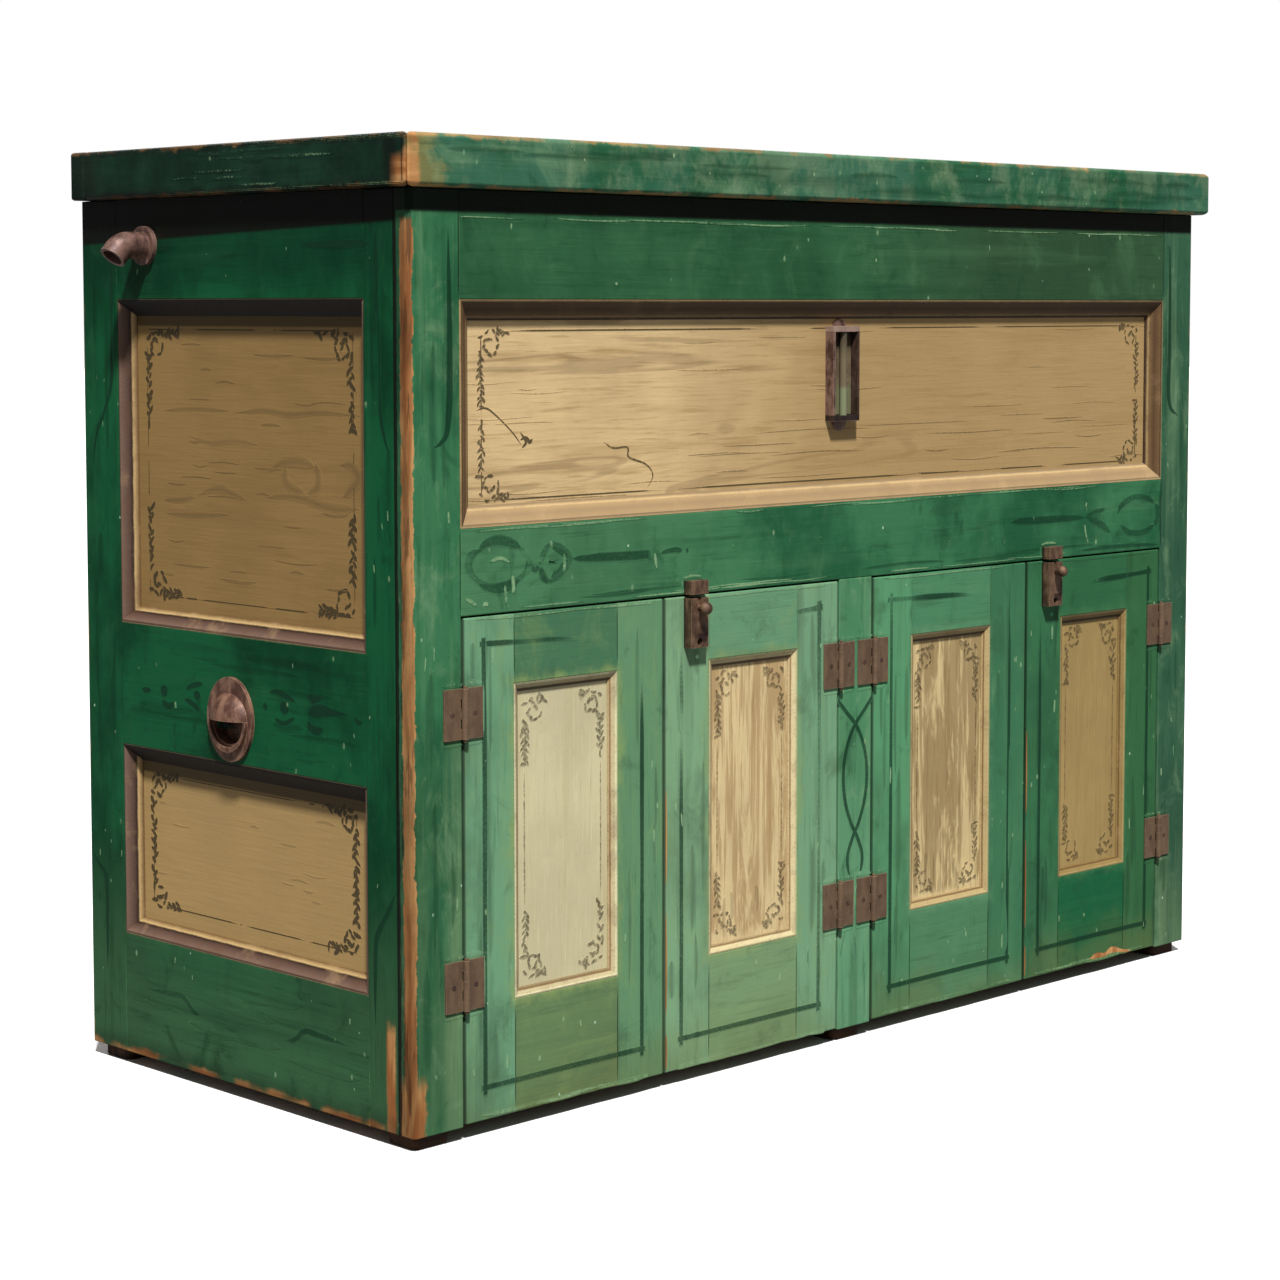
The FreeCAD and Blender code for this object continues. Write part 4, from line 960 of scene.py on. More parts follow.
            levels += [mark([(x - 3, 512), (x + 12, 514), (x + 27, 512.5)], (3, 6, 3), thin=1.0,
                            taper="none", soft=0.8),
                       mark([(x - 2.4, 511), (x - 2.8, 497)], 3.2, thin=0.8, soft=0.8)]
        # A pale line just below the lid's painted shadow, partly worn paint and partly painted
        # highlight of the rail's upper edge.
        levels += smears(66, 1190, 873, 875, 22, draw, level=True, thin=1.0, width=(1.4, 3))
        levels += smears(80, 1180, 575, 577, 14, draw, level=True, thin=0.9, width=(2, 4))
        film("front_rail_ornament", face, levels, level, "green_paint", "cabinet")
        return {"FINISHED"}


def beading(name, edges, stops, across="x", shaded=0.8, lit=0.0, far=0.0, core=1.0):
    """Painted beading: rings of colour from the opening's edge inwards, streaked and rubbed.

    edges holds the outer rectangles of the beading; stops are the rings' starts in millimetres.
    shaded is the share of painted shadow on its upper lengths, lit the share of paler paint on the
    lower ones as painted light, or of browner paint when it is below nought, and far the share of
    darker brown on the upright length at the higher end. Core is the part of the painted shadow
    and of the lower lengths' paint that stays between the two edges of a length.
    """
    inks = bpy.context.scene.cabinet_colours
    f = Finish(name)
    depth = f.most(*(f.times(f.from_edge(low, high, across), -1.0) for low, high in edges))
    wander = f.wave(1.2, 16, (1, 1, 1), 3, 0.6)
    colour = f.rings(f.plus(depth, wander), stops)
    cloud = f.noise(48, (1, 1, 1), 4, 0.62)
    grit = f.noise(2.6, (1, 1, 1), 3, 0.65)
    colour = f.over(colour, inks.moulding_dark, f.step(cloud, 0.5, 0.7), 0.4)
    colour = f.over(colour, inks.moulding, f.step(cloud, 0.46, 0.3), 0.3)
    colour = f.over(colour, inks.moulding_dark, f.step(grit, 0.52, 0.75), 0.4)
    edge = f.rounded_edges(1.2)
    colour = f.over(colour, inks.grime, edge, f.step(grit, 0.4, 0.6), 0.4)
    way = "xyz".index(across)
    beside = (f.x, f.y)[way]
    width = stops[-1][0]

    def length(inset, height):
        return f.times(f.step(f.less(inset, height), -0.6, 0.6),
                       f.step(height, width + 4, width + 3))

    lower_tint = srgb(208, 180, 136) if lit > 0 else srgb(92, 74, 46)
    for low, high in edges:
        beyond = f.less(float(high[way]), beside)
        above, below = f.less(float(high[2]), f.z), f.less(f.z, float(low[2]))
        inset = f.sum("MINIMUM", f.less(beside, float(low[way])), beyond)
        # Upper lengths get painted shadow; lower lengths get paler paint as painted light, or
        # browner paint when lit is below nought.
        for height, share, tint in (
            (above, shaded, srgb(16, 8, 4)),
            (below, abs(lit), lower_tint),
        ):
            here = f.times(length(inset, height), f.step(height, -1.0, 1.0))
            kept = f.plus(f.times(f.band(height, 1.4, width - 2.4, 0.6), core - 1.0), 1.0)
            colour = f.over(colour, tint, here, share, kept)
        ends = f.sum("MINIMUM", above, below)
        colour = f.over(colour, srgb(30, 20, 12), length(ends, beyond), far)
    colour = f.over(colour, inks.grime, f.carried("grime"), 0.9)
    return f.close(colour, 0.55, grit, 0.3, Specular_IOR_Level=0.3)


def board(name, light, dark, grain, figured=0.4, tone=None, knots=0.0, flame=None):
    """Thin old paint on a wide board, with figure, grain lines and knots showing through.

    flame holds a share and two heights: brown flame figure shows between them.
    """
    inks = bpy.context.scene.cabinet_colours
    f = Finish(name)
    long_grain = tuple(part if part == 1.0 else 0.05 for part in GRAIN[grain])
    figure = f.noise(30, GRAIN[grain], 5, 0.66, bend=0.9)
    lines = f.noise(3.0, long_grain, 3, 0.6, shift=4.1)
    cloud = f.noise(120, (1, 1, 1), 4, 0.6)
    colour = f.over(scaled(light, 0.86), light, f.step(cloud, 0.35, 0.65))
    colour = f.over(colour, dark, f.step(figure, 0.5, 0.62), figured)
    colour = f.over(colour, dark, f.step(lines, 0.54, 0.72), 0.5)
    pale = tuple(min(part * 1.18, 1.0) for part in light)
    colour = f.over(colour, pale, f.step(lines, 0.44, 0.3), 0.4)
    if flame:
        drawn = tuple(part if part == 1.0 else 0.13 for part in GRAIN[grain])
        stain = f.step(f.noise(40, drawn, 5, 0.74, shift=2.7, bend=0.5), 0.47, 0.55)
        fine = f.step(f.noise(10, long_grain, 4, 0.7, shift=5.5), 0.5, 0.6)
        brown = f.most(f.times(stain, 0.62), f.times(fine, 0.6))
        ends = flame[1:]
        ragged = f.plus(f.z, f.times(f.noise(14, drawn, 3, 0.6), 46))
        held = f.times(f.step(ragged, ends[0] + 30, ends[0] + 40),
                       f.step(ragged, ends[1] + 46, ends[1] + 20))
        colour = f.over(colour, dark, brown, held, flame[0])
    if knots:
        ring = f.noise(58, GRAIN[grain], 2, 0.4, shift=8.3, bend=2.2)
        knot = f.times(f.band(ring, 0.6, 0.66, 0.015), knots)
        colour = f.over(colour, inks.moulding_dark, knot)
    if tone:
        colour = tone(f, colour)
    ink, thin, worn = f.marks()
    uneven = f.less(f.noise(3.4, (1, 1, 1), 3, 0.6, shift=9.4), 0.5)
    hold = f.step(f.plus(ink, f.times(uneven, -1.1)), 0.05, 0.95)
    colour = f.over(colour, inks.print_ink, hold, 0.92)
    colour = f.over(colour, pale, f.step(f.plus(thin, uneven), 0.3, 0.8), 0.8)
    strip = f.step(f.plus(worn, f.times(uneven, 1.2)), 0.4, 0.75)
    colour = f.over(colour, inks.wood_dark, strip, 0.75)
    colour = f.over(colour, inks.grime, f.carried("grime"), 0.88)
    height = f.plus(f.times(lines, 0.6), f.times(figure, 0.4))
    return f.close(colour, 0.55, height, 0.35, Specular_IOR_Level=0.3)


def around_leaf(pin, way):
    """Pale rubbed paint above, below and beside the leaves that lie on one side of a pin."""
    x0, x1 = sorted((pin, pin + way * LEAF_WIDTH))
    outer = pin + way * (LEAF_WIDTH + 2.4)
    made = []
    for low, high in HINGE_HEIGHTS:
        made += [mark([(x0 - 1, high + 3.5), ((x0 + x1) / 2, high + 4.5), (x1 + 1, high + 3)],
                      (4, 7, 4),
                      thin=0.62, steps=9, soft=0.85),
                 mark([(x0, low - 6), (x1, low - 5)], 3.4, thin=0.4, soft=0.85),
                 mark([(outer, low + 2), (outer, high + 2)], (2.4, 3.4), thin=0.42, soft=0.85)]
    return made


def end_stripes():
    """Tapering stripes of an end, top and foot; across is the distance behind the front face."""
    near = [(47, 868), (47.5, 820), (48, 790), (46, 748), (45, 712), (40, 676), (26, 640)]
    far = [(482, 868), (481, 820), (481, 760), (484, 712), (497, 680), (512, 656), (521, 617)]
    low_near = [(24, 236), (34, 218), (46, 200), (54, 186), (56, 160), (57, 92)]
    low_far = [(530, 208), (520, 196), (508, 187), (505, 170), (505, 130), (506, 80)]
    upright = [mark(near, (5, 8, 10, 10, 8, 6, 3), ink=0.95),
               mark(far, (5, 7, 8, 8, 6, 5, 3), ink=0.9),
               mark(low_near, (3, 6, 8, 8, 7, 3), ink=0.85),
               mark(low_far, (3, 6, 8, 8, 7, 3), ink=0.85)]
    level = [mark([(158, 850), (140, 849), (90, 849), (56, 849)], (4, 8, 9, 7), ink=0.95),
             mark([(372, 850), (392, 849), (440, 849), (474, 849)], (4, 8, 9, 7), ink=0.9),
             mark([(196, 62), (184, 64), (166, 76), (146, 76), (100, 74)], (2, 6, 7, 7, 3),
                  ink=0.7),
             mark([(340, 62), (352, 64), (370, 76), (390, 76), (436, 74)], (2, 6, 7, 7, 3),
                  ink=0.6)]
    return upright, level


class CABINET_OT_ends(bpy.types.Operator):
    """Finish both ends: stiles, rails, joints, scrolls, panels and their mouldings"""

    bl_idname = "cabinet.ends"
    bl_label = "Ends"

    def execute(self, context):
        inks = context.scene.cabinet_colours

        def dirt_and_shade(f):
            # Painted shadow of the lid's overhang: the end goes near black near the top, a little
            # lower towards the back.
            lid_shadow = f.times(f.step(f.plus(f.z, f.times(f.y, 0.03)), 868, 872), 0.98)
            # A dark band behind the front stile: the seam, and painted shadow of the proud front
            # stile.
            joint = f.times(f.band(f.y, 18.6, 23.4, 0.5), 0.95)
            low = f.times(f.step(f.z, 26, 4), f.noise(40), 0.8)
            # Painted shade on the rail seen inside the lift handle's cup.
            handle_shade = f.times(f.band(f.y, 258, 302, 3), f.band(f.z, 350, 400, 3), 0.9)
            return f.most(lid_shadow, joint, low, handle_shade)

        def bare(f):
            wave = f.wave(34.0, 30, (1, 1, 1), 4, 0.65)
            strip = f.times(f.step(f.plus(f.z, f.times(wave, 0.45)), 9, 3),
                            f.step(f.noise(70, (1, 1, 1), 2), 0.42, 0.55))
            patch = f.times(f.band(f.plus(f.y, f.times(wave, 0.2)), 27, 40, 2),
                            f.step(f.plus(f.z, wave), 112, 96))
            back = f.times(f.step(f.plus(f.y, f.times(wave, 0.1)), 531, 533),
                           f.step(f.noise(40, (1, 1, 0.3), 3), 0.5, 0.6), 0.8)
            return f.most(strip, patch, back, f.band(f.x, 21.5, 1232.5, 0.2))

        def tone(f, colour):
            low = f.step(f.plus(f.z, f.times(f.noise(90), 120)), 330, 90)
            colour = f.over(colour, srgb(0, 44, 26), f.step(f.z, 790, 840, 0.0, 0.62))
            return f.over(colour, srgb(66, 102, 68), low, 0.7)

        rubbed = srgb(56, 110, 72)
        upright = painted("end_paint_upright", inks.side_light, inks.side_dark, "z", tone, bare,
                          dirt_and_shade,
                          0.5, rubbed)
        level = painted("end_paint_level", inks.side_light, inks.side_dark, "y", tone, bare, dirt_and_shade,
                        0.45, rubbed)

        def shaded(f, colour):
            # Painted shadow of the mouldings and rail above: a dark band along the top of each
            # panel.
            upper = f.most(f.step(f.z, 768, 771),
                           f.times(f.step(f.z, 300, 303), f.step(f.z, 340, 335)))
            colour = f.over(colour, srgb(132, 102, 56), f.step(f.z, 350, 430), 0.5)
            colour = f.over(colour, srgb(190, 158, 104), f.step(f.z, 430, 350), 0.45)
            colour = f.over(colour, srgb(66, 50, 14), upper, 0.85)
            return aged_back(f, colour, f.band(f.x, *inward, 0.2), "y")

        inward = (span("left_side_panels")[1][0] - 0.4, span("right_side_panels")[0][0] + 0.4)
        panel = board("end_panel_paint", inks.side_panel, scaled(inks.side_panel, 0.66), "y",
                      0.3, shaded, 0.12)
        rings = ring_stops((0.0, 150, 134, 96), (1.4, 72, 48, 38), (2.6, 114, 90, 76),
                           (9.6, 80, 58, 48), (12.0, 34, 22, 16), (13.2, 186, 156, 106),
                           (16.6, 110, 84, 50))
        for side in ("left", "right"):
            draw = np.random.default_rng(21 if side == "left" else 22)
            low, high = span(f"{side}_side_mouldings")
            openings = [((*low[:2], END_RAIL[1]), high), (low, (*high[:2], END_RAIL[0]))]
            trim = beading(f"{side}_end_beading", openings, rings, "y", 1.0)
            for part in ("stile_front", "stile_back"):
                softened(f"{side}_side_{part}", upright, "green_paint")
            softened(f"{side}_side_rails", level, "green_paint")
            dress(panel, f"{side}_side_panels")
            dress(trim, f"{side}_side_mouldings")
            face = face_of(f"{side}_side_stile_front", side)
            upright_marks, level_marks = end_stripes()
            stiles = upright_marks + drips(26, 62, 60, 860, 5, draw, size=(3, 12), width=(1.2, 3))
            stiles += [mark([(66, 868), (66.4, 600), (66, 360), (66, 60)], 1.6, ink=0.5, steps=14),
                       mark([(471, 868), (471.4, 500), (471, 60)], 1.6, ink=0.5, steps=14)]
            stiles += drips(476, 528, 60, 860, 5, draw, size=(3, 10), width=(1.2, 3))
            for foot, shares in ((60, {"shade": 0.6}), (40, {"thin": 0.3})):
                for y0, y1 in ((26, 62), (478, 528)):
                    stiles += smears(y0, y1, foot, 860, 8, draw, **shares)
            film(f"{side}_stile_ornament", face, stiles, upright, "green_paint", "cabinet")
            rails = END_SCROLLS + level_marks
            rails += drips(80, 460, 345, 450, 7, draw, size=(2, 6), width=(1.0, 2.4))
            rails += drips(80, 460, 30, 120, 8, draw, size=(2, 8), width=(1.0, 3))
            rails += drips(80, 460, 810, 850, 3, draw, size=(2, 5), width=(1.0, 2.4))
            rails += smears(80, 460, 340, 450, 8, draw, level=True, shade=0.5)
            rails += smears(80, 460, 20, 120, 12, draw, level=True, thin=0.3)
            film(f"{side}_rail_ornament", face, rails, level, "green_paint", "cabinet")
            face = face_of(f"{side}_side_panels", side)
            prints = border(100, 438, 490, 766, 1.5, draw, 0.95)
            prints += border(100, 438, 162, 300, 1.5, draw, 0.95)
            for z, up, size in ((485, 1, 58), (770, -1, 58), (157, 1, 48), (305, -1, 48)):
                for y, across in ((95, 1), (443, -1)):
                    prints += dab_rows((y, z), across, up, size, draw, 5.4, 1.25)
            prints += smears(110, 430, 500, 760, 30, draw, level=True, soil=0.3, length=(14, 70),
                             width=(1.6, 4))
            prints += smears(110, 430, 170, 300, 12, draw, level=True, soil=0.22, length=(10, 50),
                             width=(1.6, 4))
            prints += [mark(path, width, soil=soil, soft=0.85) for path, width, soil in END_STAINS]
            film(f"{side}_panel_print", face, prints, panel, "panel_paint", "cabinet")
        return {"FINISHED"}


PINSTRIPES = {
    1: [([(84, 467), (118, 466), (150, 465), (182, 464), (214, 462)], (7, 7, 5, 6, 4),
         (0.85, 0.85, 0.45, 0.6, 0.1)),
        ([(90, 474), (91, 330), (90.4, 180), (90, 25)], (7, 8, 7, 7), (0.85, 0.8, 0.8, 0.8)),
        ([(303, 416), (303.4, 350), (303.2, 190), (303, 25)], (2, 7, 7, 7), (0.2, 0.9, 0.85, 0.8)),
        ([(84, 34), (196, 34.4), (309, 34)], (7, 7, 7), (0.78, 0.78, 0.78))],
    2: [([(432, 476), (480, 477), (527, 475)], (8, 11, 6), (0.05, 0.2, 0.05)),
        ([(534, 465), (556, 466), (578, 467.5)], (5, 7, 9), (0.45, 0.6, 0.7)),
        ([(360, 441), (360.5, 395), (360.5, 355), (360, 290), (360.4, 160), (360, 25)],
         (3, 7, 6, 7, 7, 7),
         (0.3, 0.65, 0.25, 0.75, 0.75, 0.72)),
        ([(571, 475), (571.5, 360), (571.5, 200), (571, 25)], (9, 7, 6, 7), (0.7, 0.5, 0.5, 0.7)),
        ([(354, 34), (465, 34.4), (577, 34)], (7, 7, 7), (0.78, 0.78, 0.78))],
    3: [([(683, 467), (720, 466.5), (760, 465.5), (800, 464.5), (836, 463)], (7, 6, 8, 7, 3),
         (0.62, 0.5, 0.9, 0.8, 0.1)),
        ([(690, 475), (690.4, 400), (690.4, 230), (690, 25)], (7, 6, 7, 7), (0.5, 0.75, 0.9, 0.9)),
        ([(899, 474), (899.4, 380), (899.4, 210), (899, 25)], (3, 6, 7, 7),
         (0.3, 0.85, 0.85, 0.85)),
        ([(684, 34), (795, 34.4), (905, 34)], (7, 7, 7), (0.9, 0.9, 0.9))],
    4: [([(1058, 463.5), (1086, 464.5), (1116, 465.5), (1146, 466.5), (1176, 468)],
         (4, 8, 8, 6, 8),
         (0.25, 0.85, 0.8, 0.95, 0.95)),
        ([(957, 438), (957.4, 340), (957.2, 190), (957, 25)], (3, 6, 7, 7), (0.2, 0.88, 0.9, 0.9)),
        ([(1169, 475), (1169.4, 330), (1169.3, 180), (1169, 25)], (7, 7, 7, 7),
         (0.95, 0.95, 0.95, 0.9)),
        ([(951, 34), (1063, 34.4), (1175, 34)], (7, 7, 7), (0.9, 0.9, 0.9))],
}


class CABINET_OT_doors(bpy.types.Operator):
    """Finish the four doors: frames, pinstripes, panels, prints and mouldings"""

    bl_idname = "cabinet.doors"
    bl_label = "Doors"

    def execute(self, context):
        greens = tints(
            ((106, 152, 116), (97, 140, 101), (62, 108, 76), (98, 120, 78), (138, 158, 96)),
            ((121, 159, 121), (116, 160, 123), (98, 146, 110), (120, 150, 108), (134, 158, 104)),
            ((86, 144, 102), (56, 110, 76), (74, 128, 92), (78, 126, 90), (98, 144, 104)),
            ((54, 108, 72), (50, 98, 60), (46, 100, 64), (14, 92, 56), (66, 116, 74)),
        )
        creams = tints(((210, 200, 160), (186, 172, 126)), ((220, 196, 146), (146, 108, 62)),
                       ((216, 192, 140), (116, 88, 48)), ((166, 140, 88), (140, 114, 68)))
        trims = tints(
            ((218, 212, 170), (194, 180, 138), (146, 114, 78), (182, 164, 122)),
            ((192, 184, 138), (212, 196, 150), (154, 124, 84), (198, 178, 134)),
            ((178, 162, 116), (178, 156, 108), (124, 96, 60), (180, 156, 108)),
            ((156, 138, 90), (142, 118, 70), (100, 76, 42), (138, 112, 64)),
        )
        for number in DOORS:
            draw = np.random.default_rng(30 + number)
            low, high = span(f"door_{number}_frame")
            inner, outer = span(f"door_{number}_moulding")
            x0, x1, z0, z1 = low[0], high[0], low[2], high[2]
            left, right, foot, head = inner[0], outer[0], inner[2], outer[2]

            def across(f, left=left, right=right):
                return f.band(f.x, left, right, 0.6)

            def tone(f, colour, opening=(inner, outer), parts=greens[number], across=across,
                     right=right):
                far, top, low, halo = parts[1:]
                colour = f.over(colour, far, f.step(f.x, right - 1, right + 1), 0.85)
                lying = across(f)
                colour = f.over(colour, top, lying, f.step(f.z, 260, 300), 0.85)
                colour = f.over(colour, low, lying, f.step(f.z, 300, 260), 0.85)
                wave = f.times(f.noise(24, (1, 1, 0.6), 4, 0.66), 44)
                ragged = f.plus(f.from_edge(*opening), wave)
                colour = f.over(colour, halo, f.step(ragged, 34, 18), 0.7)
                foot = f.step(f.plus(f.z, f.times(f.noise(70, (1, 1, 1), 4), 150)), 150, 60)
                return f.over(colour, srgb(104, 112, 66), foot, 0.45)

            def inside(f):
                return f.step(f.y, 18.4, 18.9)

            def edge_dirt(f, x0=x0, x1=x1):
                side = f.most(f.step(f.x, x0 + 2.4, x0 + 0.4), f.step(f.x, x1 - 2.4, x1 - 0.4))
                aged = f.times(inside(f),
                               f.step(f.noise(60, GRAIN["z"], 4, 0.6), 0.3, 0.7, 0.2, 0.46))
                return f.most(f.times(side, 0.7), aged)

            green, halo = greens[number][0], greens[number][-1]
            paint = painted(f"door_{number}_paint", scaled(green, 1.08), scaled(green, 0.72), "z",
                            tone, inside, edge_dirt, 0.8, halo, across)
            softened(f"door_{number}_frame", paint, "green_paint")
            face = face_of(f"door_{number}_frame", "front")
            lines = []
            for path, widths, shares in PINSTRIPES[number]:
                longest = np.abs(np.diff(np.array(path), axis=0)).max()
                lines.append(mark(path, widths, ink=shares, steps=int(longest / 3) + 4,
                                  taper="none"))
            seam = 0.75 if number == 1 else 0.35
            for x in (left, right):
                lines.append(mark([(x, z1 - 1), (x + 0.3, head + 6)], 1.6, soil=seam,
                                  taper="none"))
                lines.append(mark([(x, foot - 6), (x - 0.3, z0 + 1)], 1.6, soil=0.8, taper="none"))
            lines += drips(x0 + 8, left - 6, 30, 470, 3, draw)
            lines += drips(right + 6, x1 - 8, 30, 470, 4, draw)
            lines += drips(left, right, 20, 100, 2, draw, size=(4, 10))
            lines += smears(x0 + 8, left - 8, 40, 470, 7, draw, shade=0.6)
            lines += smears(right + 8, x1 - 8, 40, 470, 5, draw, shade=0.6)
            lines += smears(right + 8, x1 - 8, 40, 470, 4, draw, thin=0.35)
            lines += smears(x0 + 20, x1 - 20, z0 + 1.5, z0 + 5, 9, draw, level=True, thin=0.8,
                            width=(2, 5))
            rub = 0.3 if number == 4 else 0.9
            lines += smears(x0 + 20, x1 - 20, z1 - 3, z1 - 1.5, 8, draw, level=True, thin=rub,
                            width=(2, 3))
            if number == 4:
                lines.append(mark([(1056, 6), (1074, 8), (1090, 7), (1104, 11), (1126, 6),
                                   (1146, 4)],
                                  (3, 12, 8, 13, 7, 3), bare=1.4, steps=9, soft=0.8))
            if number in CATCHES:
                beside = CATCHES[number]
                lines += [mark([(beside + 27.6, 490), (beside + 28, 470), (beside + 27, 446)],
                               (2, 3.6, 2.6),
                               thin=0.7, soft=0.8),
                          mark([(beside, 437.6), (beside + 26, 438)], 2.6, thin=0.5, soft=0.8)]
                for top, low in ((300, 196), (172, 60), (44, 5)):
                    lines.append(mark([(x0 + 1.6, top), (x0 + 2, (top + low) / 2),
                                       (x0 + 1.7, low)],
                                      (2, 3.2, 2.4), bare=1.0, steps=12))
            pin, way = HINGE_PINS[number - 1]
            lines += around_leaf(pin, way)
            body = f"door_{number}"
            film(f"door_{number}_stripes", face, lines, paint, "green_paint", body)
            light, dark = creams[number]
            flame = ({1: 0.16, 2: 0.85, 3: 0.95, 4: 0.1}[number], foot + 6, head - 4)
            depth = span(f"door_{number}_panel")[1][1]

            def unpainted_back(f, colour, depth=depth):
                return aged_back(f, colour, f.step(f.y, depth - 0.5, depth - 0.2), "z")

            panel = board(f"door_{number}_panel_paint", light, dark, "z", 0.25, unpainted_back,
                          0.0, flame)
            dress(panel, f"door_{number}_panel")
            rim, flat, line, edge = trims[number]
            rings = [(0.0, rim), (2.0, rim), (3.0, flat), (5.8, flat), (6.6, line), (7.4, line),
                     (8.2, edge)]
            trim = beading(f"door_{number}_beading", [(inner, outer)], rings,
                           lit=(-0.56, -0.45, -0.28, -0.2)[number - 1], core=0.25)
            dress(trim, f"door_{number}_moulding")
            face = face_of(f"door_{number}_panel", "front")
            a, b, c, d = left + 12, right - 12, foot + 12, head - 12
            prints = []
            for u, across in ((a, 1), (b, -1)):
                for v, up in ((c, 1), (d, -1)):
                    prints += dab_rows((u, v), across, up, 52, draw, 5.0, 0.62, (0.85, 0.35))
            for u in (a + 6, b - 6):
                prints.append(mark([(u, d - 74), (u, 270), (u, c + 74)], 2.6, ink=0.5, steps=12))
            ragged = {1: 0, 2: 7, 3: 16, 4: 0}[number]
            prints += smears(a + 14, b - 14, foot + 12, foot + 62, ragged, draw, length=(14, 46),
                             width=(3, 8), soil=0.34)
            film(f"door_{number}_print", face, prints, panel, "panel_paint", body)
        return {"FINISHED"}


class CABINET_OT_long_panel(bpy.types.Operator):
    """Finish the long panel above the doors, its print, its cracks and its moulding"""

    bl_idname = "cabinet.long_panel"
    bl_label = "Long panel"

    def execute(self, context):
        inks = context.scene.cabinet_colours
        draw = np.random.default_rng(7)

        def tone(f, colour):
            far = f.plus(f.x, f.times(f.noise(160), 260))
            return f.over(colour, inks.long_dark, f.step(far, 420, 760, 0.0, 0.75))

        panel = board("long_panel_paint", inks.long_light, inks.long_dark, "x", 0.34, tone, 0.3)
        dress(panel, "front_panel")
        opening = span("front_moulding")
        rings = ring_stops((0.0, 196, 166, 116), (2.6, 58, 38, 22), (3.8, 128, 98, 62),
                           (10.0, 98, 70, 42), (15.0, 140, 110, 70), (16.4, 196, 164, 112),
                           (18.6, 66, 44, 26))
        dress(beading("front_beading", [opening], rings, "x", 0.62, 0.36, 0.34), "front_moulding")
        face = face_of("front_panel", "front")
        prints = border(100, 1156, 603, 766, 1.8, draw, 1.0, 0.12)
        for x, across in ((92, 1), (1164, -1)):
            for z, up in ((598, 1), (772, -1)):
                prints += dab_rows((x, z), across, up, 56, draw, 4.4, 0.8, (0.9, 0.5))
        prints += [mark([(93, 690), (106, 692), (120, 684), (140, 668), (152, 655)],
                        (1.6, 2.4, 2, 1.8, 1.6), ink=1.1),
                   mark([(150, 660), (157, 662), (163, 658), (167, 661)], (2, 4.5, 5, 2), ink=1.2),
                   mark([(152, 652), (158, 658), (150, 668)], (2, 4, 2), ink=1.0),
                   mark([(262, 655), (276, 648), (296, 648), (298, 638), (322, 630), (332, 618),
                         (322, 604)],
                        (2, 2.5, 2.8, 3.2, 2.4, 2.2, 1.6), ink=0.8)]
        prints += smears(80, 1176, 596, 660, 26, draw, level=True, ink=0.7, length=(40, 190),
                         width=(1, 2))
        prints += smears(80, 1176, 640, 780, 26, draw, level=True, ink=0.42, length=(20, 110),
                         width=(1, 2))
        film("long_panel_print", face, prints, panel, "panel_paint", "cabinet")
        return {"FINISHED"}


